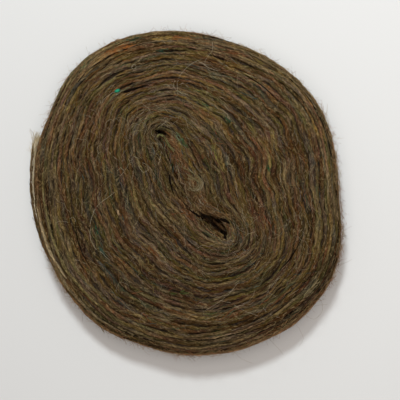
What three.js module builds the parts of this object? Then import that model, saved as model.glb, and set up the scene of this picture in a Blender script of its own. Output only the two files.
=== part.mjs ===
// A flat plate of unspun wool roving, as it lies on a table. One soft strand was wound round a
// bar, and the bar has been drawn out, so that the middle has closed to a crooked slit.
// Millimetres, +Z up. The origin is on the table, under the middle of the plate.
import * as THREE from "three";
import { mergeVertices } from "three/addons/utils/BufferGeometryUtils.js";

// Driving dimensions
const PLATE_HEIGHT = 40; // from the table to the turns on top
const WIDEST_AT = 18; // the height at which the side stands out furthest
const FOOT_INSET = 8; // how far the side draws in again at the table
const TURNS = 13; // ridges from the slit to the shoulder, each a bundle of two or three fine turns
const SIDE_RIDGES = 7; // ridges down the side
const RIDGE_DEPTH = 1.4; // from a ridge's crest to the furrow beside it
const RIDGE_SWELL = 0.45; // how much higher or lower a ridge may run than its neighbour
const CROWN_FALL = 1.2; // how much lower the top is at its shoulder than half way out
const SLIT_DIP = 1.4; // how much lower the top is beside the slit
const WANDER = 0.9; // how far a turn strays sideways from its even course
const INNER_END_DIAMETER = 5; // the inner end has come open and is fluffier than the turns
const OUTER_END_DIAMETER = 2.6;

// Sections and points
const COLUMNS = 64; // sections round the plate
const FIRST_COLUMN = 51; // the section where the spiral starts, and where its last turn runs out
const SLIT_BEARING = 123; // the outline's bearing, in degrees, beyond the slit's first end
const CREST = [0, 0.94, 0.9]; // a ridge's height at its points, as a share, from one furrow on
const UPPER_SHARE = 0.57; // the share of the side's ridges above its widest line
const BARREL_TAPER = [0.93, 0.66]; // the slit's width at its two lower levels, as a share
const BARREL_DROP = [0.5, 0.92]; // how deep those two levels are, as a share

// The outline seen from above, every 15 degrees: how far it reaches from the middle, and how broad
// the rounding is between the top and the side.
const OUTLINE = [
  { bearing: 0, reach: 105.5, shoulder: 12 },
  { bearing: 15, reach: 106.5, shoulder: 11 },
  { bearing: 30, reach: 109.5, shoulder: 11 },
  { bearing: 45, reach: 110.5, shoulder: 11 },
  { bearing: 60, reach: 110, shoulder: 11.5 },
  { bearing: 75, reach: 110.7, shoulder: 12 },
  { bearing: 90, reach: 113, shoulder: 12.5 },
  { bearing: 105, reach: 115.7, shoulder: 13 },
  { bearing: 120, reach: 118, shoulder: 13 },
  { bearing: 135, reach: 117.7, shoulder: 13 },
  { bearing: 150, reach: 112.7, shoulder: 13.5 },
  { bearing: 165, reach: 109, shoulder: 14 },
  { bearing: 180, reach: 106.4, shoulder: 15 },
  { bearing: 195, reach: 106.7, shoulder: 16 },
  { bearing: 210, reach: 109.2, shoulder: 17.5 },
  { bearing: 225, reach: 111, shoulder: 18 },
  { bearing: 240, reach: 112, shoulder: 17 },
  { bearing: 255, reach: 111.3, shoulder: 16 },
  { bearing: 270, reach: 113.4, shoulder: 15 },
  { bearing: 285, reach: 113.9, shoulder: 14.5 },
  { bearing: 300, reach: 114.7, shoulder: 14 },
  { bearing: 315, reach: 115.6, shoulder: 13.5 },
  { bearing: 330, reach: 116.4, shoulder: 13 },
  { bearing: 345, reach: 111.3, shoulder: 12.5 },
];

// The slit's middle line from its upper left end to its lower right one: half its width, before
// the ends round it off, and how deep it goes below the top.
const SLIT = [
  { x: -21, y: 43, half: 7.6, depth: 15 },
  { x: -14.8, y: 34.8, half: 6.4, depth: 10.5 },
  { x: -9.4, y: 23.8, half: 5.6, depth: 8.8 },
  { x: -4.6, y: 12.6, half: 5.4, depth: 8.4 },
  { x: 0.8, y: 2.4, half: 5, depth: 8.4 },
  { x: 7, y: -8.6, half: 2, depth: 9 },
  { x: 16.6, y: -19, half: 7.6, depth: 18 },
  { x: 27, y: -29.6, half: 5, depth: 12 },
];

// Places where two neighbouring turns part and the furrow between them gapes.
const CREASES = [
  { x: -41, y: 74, long: 14, deeper: 2.2 },
  { x: 62, y: -52, long: 12, deeper: 1 },
  { x: -70, y: -38, long: 16, deeper: 1 },
];

// The strand's inner end comes up out of the slit's first end and lies along the slit.
const INNER_END = [
  { x: -18.1, y: 39.2, z: 30.9 },
  { x: -15.6, y: 35.7, z: 33.7 },
  { x: -12.4, y: 30.4, z: 35.5 },
  { x: -9.2, y: 24, z: 36.1 },
  { x: -6.4, y: 17.8, z: 36.3 },
  { x: -3.6, y: 11.8, z: 36.3 },
  { x: -0.4, y: 6.4, z: 36.2 },
  { x: 2.4, y: 2.4, z: 36.4 },
];

// The strand's outer end has come off the foot of the side and lies on the table beside it.
const OUTER_END = [
  { x: -86.6, y: -62.2 },
  { x: -94.8, y: -52.5 },
  { x: -101, y: -42.4 },
  { x: -106.2, y: -29.2 },
  { x: -110, y: -14 },
  { x: -112.2, y: 2 },
  { x: -112.4, y: 15 },
  { x: -111.7, y: 27 },
  { x: -110.9, y: 34.2 },
  { x: -108.6, y: 38.6 },
];

const wool = new THREE.MeshStandardMaterial({ color: 0x483a26, roughness: 0.95, metalness: 0 });
const looseWool = new THREE.MeshStandardMaterial({ color: 0x54442c, roughness: 0.95, metalness: 0 });

// A column's value at a place between the rows of a table, on a smooth curve through them.
function between(rows, column, place, closed) {
  const last = rows.length - 1;
  const value = (row) => {
    const used = closed ? (row + rows.length) % rows.length : THREE.MathUtils.clamp(row, 0, last);
    return rows[used][column];
  };
  const row = Math.min(Math.floor(place), closed ? last : last - 1);
  const t = place - row;
  const [a, b, c, d] = [-1, 0, 1, 2].map((step) => value(row + step));
  return b + 0.5 * t * (c - a + t * (2 * a - 5 * b + 4 * c - d + t * (3 * (b - c) + d - a)));
}

function polar(bearing, reach, z = 0) {
  const angle = THREE.MathUtils.degToRad(bearing);
  return new THREE.Vector3(reach * Math.cos(angle), reach * Math.sin(angle), z);
}

// The outline's row at a bearing of any size.
function outlineAt(bearing, column) {
  const place = (THREE.MathUtils.euclideanModulo(bearing, 360) / 360) * OUTLINE.length;
  return between(OUTLINE, column, place, true);
}

// A section's angle round the slit, 0 at the slit's first end, and its bearing at the outline.
const sectionOf = (i) => (i + FIRST_COLUMN) % COLUMNS;
const angleOf = (i) => (2 * Math.PI * sectionOf(i)) / COLUMNS;
const bearingOf = (i) => SLIT_BEARING - (360 * sectionOf(i)) / COLUMNS;

// The point of the slit's middle line that a section runs to. Two sections share each point,
// one from either side.
function slitPoint(i) {
  const nearer = Math.min(sectionOf(i), COLUMNS - sectionOf(i));
  const share = 0.5 - 0.5 * Math.cos((2 * Math.PI * nearer) / COLUMNS);
  const place = share * (SLIT.length - 1);
  const read = (column, at = place) => between(SLIT, column, at, false);
  const [back, on] = [Math.max(place - 0.05, 0), Math.min(place + 0.05, SLIT.length - 1)];
  const course = new THREE.Vector2(read("x", on) - read("x", back), read("y", on) - read("y", back));
  course.normalize();
  return { x: read("x"), y: read("y"), half: read("half"), depth: read("depth"), course };
}

// The slit's wall in a section, in plan, at a share of its full width.
function slitWall(i, width) {
  const { x, y, half, course } = slitPoint(i);
  const out = half * width * Math.sin(angleOf(i));
  return new THREE.Vector2(x - course.y * out, y + course.x * out);
}

// The height of the top, before its ridges.
function topHeight(x, y, share) {
  const crown = CROWN_FALL * (2 * share - 1) ** 2 * (share > 0.5 ? 1 : 0);
  const dip = SLIT_DIP * Math.exp(-share / 0.09);
  const roll = 0.5 * Math.sin(x / 29 + 1) + 0.5 * Math.cos(y / 25 - x / 60);
  return PLATE_HEIGHT - 0.6 - crown - dip + roll * Math.sin(Math.PI * share);
}

function creaseAt(x, y) {
  return CREASES.reduce((sum, crease) => {
    const away = Math.hypot(x - crease.x, y - crease.y) / crease.long;
    return sum + crease.deeper * Math.exp(-4 * away * away);
  }, 0);
}

// A point of the spiral on top. The first ridge starts with no width at the first section and is a
// full turn wide when it comes round again; the last one runs out in the same way.
function topPoint(i, ridge, step) {
  if (i === COLUMNS) return topPoint(0, ridge + 1, step);
  if (step === CREST.length) return topPoint(i, ridge + 1, 0);
  const turned = i / COLUMNS;
  const start = ridge === 0 ? 0 : Math.min(ridge - 1 + turned, TURNS);
  const end = Math.min(ridge + turned, TURNS);
  const width = end - start;
  const place = start + (width * step) / CREST.length;
  const share = place / TURNS;
  const angle = angleOf(i);
  const edge = polar(bearingOf(i), outlineAt(bearingOf(i), "reach") - outlineAt(bearingOf(i), "shoulder"));
  const wall = slitWall(i, 1);
  const stray = WANDER * Math.sin(Math.PI * share) * Math.sin(5 * angle + 0.9 * place);
  const even = new THREE.Vector2(edge.x, edge.y).sub(wall);
  const flat = wall.clone().addScaledVector(even, share).addScaledVector(even.normalize(), stray);
  const along = ridge + turned;
  const swell = RIDGE_SWELL * Math.sin(2.4 * along) * Math.cos(3 * angle + 1.3 * along);
  const furrow = RIDGE_DEPTH + (step === 0 ? creaseAt(flat.x, flat.y) : 0);
  const rise = CREST[step] * width * (RIDGE_DEPTH + swell);
  return new THREE.Vector3(flat.x, flat.y, topHeight(flat.x, flat.y, share) - furrow + rise);
}

// A point of the side, from the shoulder down to the table, on two quarter ellipses.
function sidePoint(i, ridge, step) {
  const column = i % COLUMNS;
  if (ridge === 0 && step === 0) return topPoint(column, TURNS + 1, 0);
  const share = (ridge + step / CREST.length) / SIDE_RIDGES;
  const sway = 0.012 * Math.sin(Math.PI * share) * Math.sin(2 * angleOf(column) + ridge);
  const upper = share < UPPER_SHARE;
  const [from, to] = upper ? [0, UPPER_SHARE] : [UPPER_SHARE, 1];
  const turn = ((share + sway - from) / (to - from)) * (Math.PI / 2);
  const bearing = bearingOf(column);
  const [reach, shoulder] = [outlineAt(bearing, "reach"), outlineAt(bearing, "shoulder")];
  const top = topPoint(column, TURNS + 1, 0).z + RIDGE_DEPTH;
  const last = ridge === SIDE_RIDGES;
  const sunk = last ? 0 : RIDGE_DEPTH * (1 - CREST[step]);
  const [sine, cosine] = [Math.sin(turn), Math.cos(turn)];
  const out = upper ? reach - shoulder * (1 - sine) - sunk * sine : reach - FOOT_INSET * (1 - cosine) - sunk * cosine;
  const z = upper ? WIDEST_AT + (top - WIDEST_AT) * cosine - sunk * cosine : WIDEST_AT * (1 - sine) + sunk * sine;
  return last ? polar(bearing, reach - FOOT_INSET, 0) : polar(bearing, out, z);
}

// The walls of the slit, level by level, and its floor.
function barrelPoint(i, level) {
  const column = i % COLUMNS;
  const rim = topPoint(column, 0, 0);
  const { x, y, depth } = slitPoint(column);
  if (level === BARREL_TAPER.length) return new THREE.Vector3(x, y, PLATE_HEIGHT - depth);
  const wall = slitWall(column, BARREL_TAPER[level]);
  const floor = PLATE_HEIGHT - depth;
  return new THREE.Vector3(wall.x, wall.y, rim.z + (floor - rim.z) * BARREL_DROP[level]);
}

// The flat underside, from the foot of the side to a line under the slit.
function underPoint(i, level) {
  const column = i % COLUMNS;
  const { x, y } = slitPoint(column);
  const foot = sidePoint(column, SIDE_RIDGES, 0);
  return foot.lerp(new THREE.Vector3(x, y, 0), level / 2);
}

// One section through the plate, from the slit's floor over the top and the side to the underside.
function sectionPoints(i) {
  const points = [];
  for (let level = BARREL_TAPER.length; level >= 0; level--) points.push(barrelPoint(i, level));
  for (let ridge = 0; ridge <= TURNS; ridge++) {
    for (let step = 0; step < CREST.length; step++) points.push(topPoint(i, ridge, step));
  }
  for (let ridge = 0; ridge < SIDE_RIDGES; ridge++) {
    for (let step = 0; step < CREST.length; step++) points.push(sidePoint(i, ridge, step));
  }
  for (const level of [0, 1, 2]) points.push(underPoint(i, level));
  return points;
}

function plateGeometry() {
  const corners = [];
  const addFace = (a, b, c) => {
    if (!a.equals(b) && !b.equals(c) && !c.equals(a)) corners.push(a, b, c);
  };
  for (let i = 0; i < COLUMNS; i++) {
    const [here, next] = [sectionPoints(i), sectionPoints(i + 1)];
    for (let j = 0; j + 1 < here.length; j++) {
      addFace(here[j], next[j], next[j + 1]);
      addFace(here[j], next[j + 1], here[j + 1]);
    }
  }
  return mergeVertices(new THREE.BufferGeometry().setFromPoints(corners));
}

// A loose end of the strand: a plain round tube, with a point every two diameters.
function strandGeometry(points, diameter, sides) {
  const course = new THREE.CatmullRomCurve3(points);
  const round = new THREE.Shape();
  for (let side = 0; side < sides; side++) {
    const angle = (2 * Math.PI * side) / sides;
    const [x, y] = [(Math.cos(angle) * diameter) / 2, (Math.sin(angle) * diameter) / 2];
    if (side === 0) round.moveTo(x, y);
    else round.lineTo(x, y);
  }
  round.closePath();
  const steps = Math.ceil(course.getLength() / (2 * diameter));
  return new THREE.ExtrudeGeometry(round, { steps, extrudePath: course, bevelEnabled: false });
}

function node(name, geometry, material) {
  const mesh = new THREE.Mesh(geometry, material);
  mesh.name = name;
  return mesh;
}

const innerCourse = INNER_END.map(({ x, y, z }) => new THREE.Vector3(x, y, z));
const outerCourse = OUTER_END.map(({ x, y }) => new THREE.Vector3(x, y, OUTER_END_DIAMETER / 2 + 0.1));

const plate = node("wound_plate", plateGeometry(), wool);
const innerEnd = node("inner_end", strandGeometry(innerCourse, INNER_END_DIAMETER, 10), looseWool);
const outerEnd = node("outer_end", strandGeometry(outerCourse, OUTER_END_DIAMETER, 8), looseWool);

// The table of the outline isn't quite even about its own middle, so all of it is moved there.
plate.geometry.computeBoundingBox();
const middle = plate.geometry.boundingBox.getCenter(new THREE.Vector3());
const roving = new THREE.Group();
for (const piece of [plate, innerEnd, outerEnd]) {
  piece.position.set(-middle.x, -middle.y, 0);
  roving.add(piece);
}

export default roving;
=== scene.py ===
# Unspun wool roving wound into a flat plate, lying on a pale table and seen from straight above.
import math

import bpy
import numpy as np
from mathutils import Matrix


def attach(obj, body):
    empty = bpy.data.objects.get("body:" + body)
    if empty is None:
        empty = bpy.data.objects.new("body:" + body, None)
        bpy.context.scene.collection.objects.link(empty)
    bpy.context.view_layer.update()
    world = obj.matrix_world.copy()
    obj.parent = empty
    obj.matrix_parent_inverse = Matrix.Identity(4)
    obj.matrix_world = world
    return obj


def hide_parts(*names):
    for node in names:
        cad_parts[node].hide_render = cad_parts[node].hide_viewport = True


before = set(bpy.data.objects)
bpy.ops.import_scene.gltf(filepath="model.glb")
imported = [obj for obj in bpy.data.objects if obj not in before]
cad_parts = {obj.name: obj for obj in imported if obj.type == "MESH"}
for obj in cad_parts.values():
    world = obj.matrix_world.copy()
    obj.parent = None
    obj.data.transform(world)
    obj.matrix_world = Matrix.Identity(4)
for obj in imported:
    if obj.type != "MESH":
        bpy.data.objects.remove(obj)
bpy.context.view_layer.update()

# Lengths in this file are millimetres until a mesh is made, and only then metres.
metre = 0.001


def linearColor(code):  # "#483a26" as linear red, green, blue and alpha
    parts = [int(code[i:i + 2], 16) / 255 for i in (1, 3, 5)]
    return [p / 12.92 if p <= 0.04045 else ((p + 0.055) / 1.055) ** 2.4 for p in parts] + [1.0]


def dyesOf(codes):  # a row of linear red, green and blue for each code
    return np.array([linearColor(code)[:3] for code in codes])


def dyeOf(code):
    return dyesOf([code])[0]


# The camera.

cameraPlan = {
    "aim": (7.2, -4.6),  # the point of the plate under the middle of the picture
    "midHeight": 20.0,
    "distance": 1000.0,  # above the plate's mid height
    "fieldWidth": 280.0,  # at the plate's mid height
    "sensorWidth": 36.0,
    "nearest": 50.0,  # what it still sees
}


def makeCamera(plan):
    x, y = plan["aim"]
    place = (x * metre, y * metre, (plan["distance"] + plan["midHeight"]) * metre)
    bpy.ops.object.camera_add(location=place, rotation=(0, 0, 0))
    camera = bpy.context.object
    camera.name = "overheadCamera"
    camera.data.sensor_width = plan["sensorWidth"]
    camera.data.lens = plan["sensorWidth"] * plan["distance"] / plan["fieldWidth"]
    camera.data.clip_start = plan["nearest"] * metre
    bpy.context.scene.camera = camera


makeCamera(cameraPlan)
print("camera is overhead")

# The plate's form.

plateForm = {
    "height": 40.0,
    "widestAt": 18.0,
    "footInset": 8.0,
    "slitBearing": 123.0,  # the outline's bearing beyond the slit's first end
    "crownInset": 0.6,  # its highest line below the full height
    "crownFall": 1.2,
    "slitDip": 1.4,
    "dipReach": 0.09,  # of the way from the slit to the shoulder
    "roll": 0.5,  # how far the top rolls up and down
    "rollWaves": (29, 25, 60),
    "upperShare": 0.57,  # of the side, above its widest line
}
plateMiddle = np.array([0.5521, 0.068, 0])  # the outline's, which is moved to the origin

# Every 15 degrees from +X: the outline's reach, and the breadth of the rounding at its top.
outlineRows = [
    (105.5, 12), (106.5, 11), (109.5, 11), (110.5, 11), (110, 11.5), (110.7, 12),
    (113, 12.5), (115.7, 13), (118, 13), (117.7, 13), (112.7, 13.5), (109, 14),
    (106.4, 15), (106.7, 16), (109.2, 17.5), (111, 18), (112, 17), (111.3, 16),
    (113.4, 15), (113.9, 14.5), (114.7, 14), (115.6, 13.5), (116.4, 13), (111.3, 12.5),
]

# The slit's middle line, from its upper left end: x, y, half its width, and its depth.
slitRows = [
    (-21, 43, 7.6, 15), (-14.8, 34.8, 6.4, 10.5), (-9.4, 23.8, 5.6, 8.8), (-4.6, 12.6, 5.4, 8.4),
    (0.8, 2.4, 5, 8.4), (7, -8.6, 2, 9), (16.6, -19, 7.6, 18), (27, -29.6, 5, 12),
]

# Where the turns ripple in plan: x, y, how far round it, the wave's length, bearing and sway.
rippleRows = [
    (30, 34, 26, 22, 80, 1.7), (52, 4, 26, 24, 95, 1.4), (-60, 20, 36, 40, 90, 1.2),
    (20, -62, 34, 40, 5, 1.2), (-20, 84, 34, 52, 20, 1.1), (-52, -44, 30, 34, 120, 1.3),
    (62, 56, 26, 30, 130, 1.1),
]

# Where two neighbouring turns part: both ends of the gap, and how much deeper it is.
gapRows = [
    (-44, 70.4, -30, 74, 1.2), (-13.6, 14, -12, 2.6, 3.6), (46, 92, 58, 86, 1.8), (70, -66, 84, -58, 2.8),
    (-72, -28, -66, -46, 1.8), (-34, 6, -33, 26, 1.6), (30, 44, 40, 18, 1.4),
    (-20, -60, 2, -66, 1.6), (88, 20, 90, -8, 1.4), (-88, 24, -90, -2, 1.6),
    (-62, 56, -50, 66, 1.6), (14, 78, 34, 72, 1.4), (-14, -30, 6, -44, 1.6),
    (52, -30, 46, -48, 1.4), (-50, -8, -44, -30, 1.4), (60, 60, 72, 40, 1.4),
    (-2, -9.6, 10, -16.4, 4.0),
]
gapReach = 1.7  # to each side


def smoothRows(rows, place, closed):  # a table's row at any place between its rows
    rows = np.asarray(rows, float)
    place = np.asarray(place, float)
    last = len(rows) - 1
    first = np.floor(place).astype(int)
    if not closed:
        first = np.clip(first, 0, last - 1)
    t = (place - first)[..., None]
    near = []
    for step in (-1, 0, 1, 2):
        index = (first + step) % len(rows) if closed else np.clip(first + step, 0, last)
        near.append(rows[index])
    a, b, c, d = near
    return b + 0.5 * t * (c - a + t * (2 * a - 5 * b + 4 * c - d + t * (3 * (b - c) + d - a)))


def plateSurface(turn, share):
    # turn: clockwise rounds from the slit's first end. share: -1 slit floor, 0 its edge,
    # 1 shoulder, 2 foot, 3 the line under the slit.
    turn, share = np.broadcast_arrays(np.asarray(turn, float), np.asarray(share, float))
    angle = 2 * np.pi * turn
    bearing = plateForm["slitBearing"] - 360 * turn
    row = (bearing % 360) / (360 / len(outlineRows))
    reach, shoulder = np.moveaxis(smoothRows(outlineRows, row, True), -1, 0)
    along = 0.5 - 0.5 * np.cos(angle)
    place = along * (len(slitRows) - 1)
    slitX, slitY, half, depth = np.moveaxis(smoothRows(slitRows, place, False), -1, 0)
    step = 0.05  # of a row, to find which way the slit runs
    back = smoothRows(slitRows, np.maximum(place - step, 0), False)
    on = smoothRows(slitRows, np.minimum(place + step, len(slitRows) - 1), False)
    course = (on - back)[..., :2]
    course = course / np.linalg.norm(course, axis=-1, keepdims=True)
    down = np.clip(-share, 0, 1)
    out = half * np.sin(angle) * (1 - down ** 3) ** (1 / 3)
    wallX, wallY = slitX - course[..., 1] * out, slitY + course[..., 0] * out
    cosB, sinB = np.cos(np.radians(bearing)), np.sin(np.radians(bearing))

    inTop = np.clip(share, 0, 1)
    x = wallX + ((reach - shoulder) * cosB - wallX) * inTop
    y = wallY + ((reach - shoulder) * sinB - wallY) * inTop
    swayX, swayY = np.zeros_like(x), np.zeros_like(y)
    for atX, atY, wide, wave, toward, sway in rippleRows:
        c, s = math.cos(math.radians(toward)), math.sin(math.radians(toward))
        size = sway * np.exp(-((x - atX) ** 2 + (y - atY) ** 2) / wide ** 2)
        size = size * np.sin(2 * np.pi * ((x - atX) * c + (y - atY) * s) / wave)
        swayX, swayY = swayX - s * size, swayY + c * size
    rippled = np.clip(6 * inTop * (1 - inTop), 0, 1)  # not at the slit and the shoulder
    x, y = x + swayX * rippled, y + swayY * rippled
    crown = plateForm["crownFall"] * (2 * inTop - 1) ** 2 * (inTop > 0.5)
    dip = plateForm["slitDip"] * np.exp(-inTop / plateForm["dipReach"])
    waveX, waveY, skew = plateForm["rollWaves"]
    roll = plateForm["roll"] * (np.sin(x / waveX + 1) + np.cos(y / waveY - x / skew))
    top = plateForm["height"] - plateForm["crownInset"] - crown - dip + roll * np.sin(np.pi * inTop)
    z = top - down * (top - (plateForm["height"] - depth))

    split = plateForm["upperShare"]
    side = np.clip(share - 1, 0, 1)
    upper = np.clip(side / split, 0, 1) * np.pi / 2
    lower = np.clip((side - split) / (1 - split), 0, 1) * np.pi / 2
    wide = plateForm["widestAt"]
    radius = reach - shoulder * (1 - np.sin(upper)) - plateForm["footInset"] * (1 - np.cos(lower))
    onSide = share > 1
    x = np.where(onSide, radius * cosB, x)
    y = np.where(onSide, radius * sinB, y)
    z = np.where(onSide, wide + (top - wide) * np.cos(upper) - wide * np.sin(lower), z)

    under = np.clip(share - 2, 0, 1)
    x = x + (slitX - x) * under
    y = y + (slitY - y) * under
    z = np.where(share > 2, 0.0, z)
    return np.stack([x, y, z], axis=-1) - plateMiddle


def unit(vectors):
    return vectors / np.maximum(np.linalg.norm(vectors, axis=-1, keepdims=True), 1e-9)


def surfaceNormal(turn, share, turnStep=0.0008, shareStep=0.004):
    limit = np.where(share < 1, 1 - shareStep, 3.0)  # a place on top doesn't look over the shoulder
    low, high = share - shareStep, np.minimum(share + shareStep, limit)
    around = plateSurface(turn + turnStep, share) - plateSurface(turn - turnStep, share)
    outward = plateSurface(turn, np.maximum(high, low + shareStep / 2)) - plateSurface(turn, low)
    return unit(np.cross(around, outward))


def stretchAt(turn, share, turnStep=0.0, shareStep=0.0):  # millimetres to one whole turn, or share
    behind = plateSurface(turn - turnStep, share - shareStep)
    apart = np.linalg.norm(plateSurface(turn + turnStep, share + shareStep) - behind, axis=-1)
    return apart / (2 * (turnStep + shareStep))


def gapDepth(points):  # how much deeper the parted turns lie at these points
    depth = np.zeros(points.shape[:-1])
    for x0, y0, x1, y1, deeper in gapRows:
        a, b = np.array([x0, y0]), np.array([x1, y1])
        t = np.clip(((points[..., :2] - a) @ (b - a)) / ((b - a) @ (b - a)), 0, 1)
        away = np.linalg.norm(points[..., :2] - a - t[..., None] * (b - a), axis=-1)
        depth = np.maximum(depth, deeper * np.exp(-(away / gapReach) ** 2))
    return depth


# The wool's mixed colours: each dye and its share, and the streaks that carding leaves.

heather = {
    "mix": [("#281a0e", 0.18), ("#442d19", 0.26), ("#583e24", 0.20), ("#684d32", 0.12),
            ("#4a4126", 0.07), ("#663c26", 0.08), ("#4e362c", 0.05), ("#6c5e4e", 0.04)],
    "streaks": [("#633820", 0.09), ("#4c4a28", 0.09), ("#6e5e2c", 0.03), ("#746858", 0.05),
                ("#54362c", 0.05), ("#2e4a30", 0.02), ("#2c4846", 0.018), ("#24160c", 0.14)],
    "fibres": [("#2a1c0e", 0.15), ("#452e18", 0.20), ("#5c4126", 0.18), ("#6f5339", 0.14),
               ("#887355", 0.10), ("#a0917a", 0.06), ("#544c26", 0.06), ("#746636", 0.03),
               ("#76422a", 0.05), ("#5e4038", 0.03), ("#6d655c", 0.05), ("#2f4e38", 0.012),
               ("#30504e", 0.012)],
    # what a turn's colour leans to over some centimetres
    "leads": [("#6b5b30", 0.18), ("#6a442a", 0.09), ("#583c30", 0.11), ("#62584a", 0.11),
              ("#36270f", 0.20), ("#7f6e4e", 0.09), ("#464a26", 0.14), ("#34453e", 0.07)],
    "streakCells": 2.3,  # how many cells one streak covers
    "broadChance": 0.3,  # that it is two cells broad
    "blueSway": (0.16, 24),  # how much the blue part comes and goes along a turn, and its wave
    "acrossCells": 84,  # over one unit of share, so about 1.1 mm each on top
    "alongCells": 60,  # over one turn, so 3 to 12 mm each
}

# Places where one dye shows: x, y, length, breadth, colour and how strongly.
dyeRows = [
    (-50, 99, 24, 4.5, "#8a4a22", 0.75), (-58, 95, 22, 3, "#8a6a34", 0.6), (-71, 90, 12, 2.6, "#2c5a3c", 0.8),
    (-6, 36, 9, 3.4, "#2c5a40", 0.5), (-9, 40, 8, 2, "#4a6a50", 0.4), (11, 60, 7, 3, "#2c5a44", 0.5),
    (26, 50, 8, 3.4, "#2c5a44", 0.5), (54, 18, 10, 3.4, "#2a5434", 0.6), (-63, -26, 12, 3.4, "#26504a", 0.5),
    (-59, -39, 16, 3.6, "#2e4c3a", 0.4), (20, 25, 18, 1.8, "#847a40", 0.35), (30, 14, 10, 2, "#7c723a", 0.4),
    (-100, -40, 30, 3, "#7a6c3c", 0.8), (-92, -60, 30, 2.6, "#8a6a44", 0.6),
    (-82, -76, 30, 3, "#776a34", 0.7), (-86, -64, 12, 2, "#8a5a34", 0.7),
    (30, 88, 26, 4, "#7a4a28", 0.5), (-84, 30, 20, 3, "#7a5530", 0.5),
    (60, -96, 30, 3, "#7d6440", 0.5), (8, -88, 34, 5, "#6f5a30", 0.5), (-6, -14, 14, 3, "#7a4426", 0.6),
    (2, 22, 12, 2.4, "#7c4628", 0.6), (84, 40, 26, 3, "#6f5c30", 0.5), (-36, 60, 20, 3, "#6f6230", 0.4),
    (94, 22, 22, 2.4, "#7a5230", 0.5), (20, -60, 22, 3, "#7b7034", 0.6), (46, -64, 20, 3, "#6f6a30", 0.5),
    (-10, 56, 18, 3, "#7a6d34", 0.5), (-25, -44, 10, 4, "#85502a", 0.6), (-12, -82, 26, 4, "#8a5c34", 0.6),
]


def pickColors(rng, name, shape):  # random dyes of a list above, in the list's shares
    codes, shares = zip(*heather[name])
    colors = dyesOf(codes)
    return colors[rng.choice(len(codes), shape, p=np.array(shares) / sum(shares))]


def makeHeather(rng):
    rows, columns = heather["acrossCells"] * 4, heather["alongCells"]
    grid = pickColors(rng, "mix", (rows, columns))
    for code, part in heather["streaks"]:
        chosen = rng.random((rows, columns)) < part / heather["streakCells"]
        beside = np.roll(chosen, 1, axis=0) & (rng.random((rows, columns)) < heather["broadChance"])
        chosen = chosen | np.roll(chosen, 1, axis=1) | beside
        grid[chosen] = dyeOf(code)
    grid = (grid + np.roll(grid, 1, axis=1)) / 2
    turn = (np.arange(columns) + 0.5) / columns
    share = np.arange(rows) / heather["acrossCells"] - 1
    places = plateSurface(turn[None, :], share[:, None])
    ahead = unit(plateSurface(turn[None, :] + 0.002, share[:, None]) - places)
    for x, y, long, broad, code, strength in dyeRows:
        offset = places - np.array([x, y, 0])
        along = (offset[..., :2] * ahead[..., :2]).sum(-1)
        across = offset[..., 0] * ahead[..., 1] - offset[..., 1] * ahead[..., 0]
        amount = strength * np.exp(-(along / (long / 2)) ** 2 - (across / (broad / 2)) ** 2)
        amount = np.where((share[:, None] < 2) & (share[:, None] > -0.1), amount, 0)
        grid = grid + (dyeOf(code) - grid) * amount[..., None]
    return grid


heatherGrid = makeHeather(np.random.default_rng(88))


def heatherAt(turn, share, smooth=True):
    rows, columns = heatherGrid.shape[:2]
    across = np.clip((share + 1) * heather["acrossCells"], 0, rows - 1.01)
    along = (turn % 1.0) * columns
    if not smooth:
        return heatherGrid[across.astype(int), along.astype(int) % columns]
    lowA, lowB = np.floor(across).astype(int), np.floor(along).astype(int)
    a, b = (across - lowA)[..., None], (along - lowB)[..., None]
    first, second = [heatherGrid[lowA, column % columns] * (1 - a)
                     + heatherGrid[lowA + 1, column % columns] * a for column in (lowB, lowB + 1)]
    return first * (1 - b) + second * b


# Meshes made of many strands or fibres.

triangleCounts = {}
lowest = 0.03  # nothing comes nearer to the table
patternRun = 900  # a strand starts anywhere on so much of the wool's pattern


def skyward(centres):
    return np.broadcast_to(np.array([0, 0, 1.0]), centres.shape)


def sectionAngles(sides):  # round a strand, with the seam underneath
    return 2 * np.pi * np.arange(sides) / sides - np.pi / 2


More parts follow.
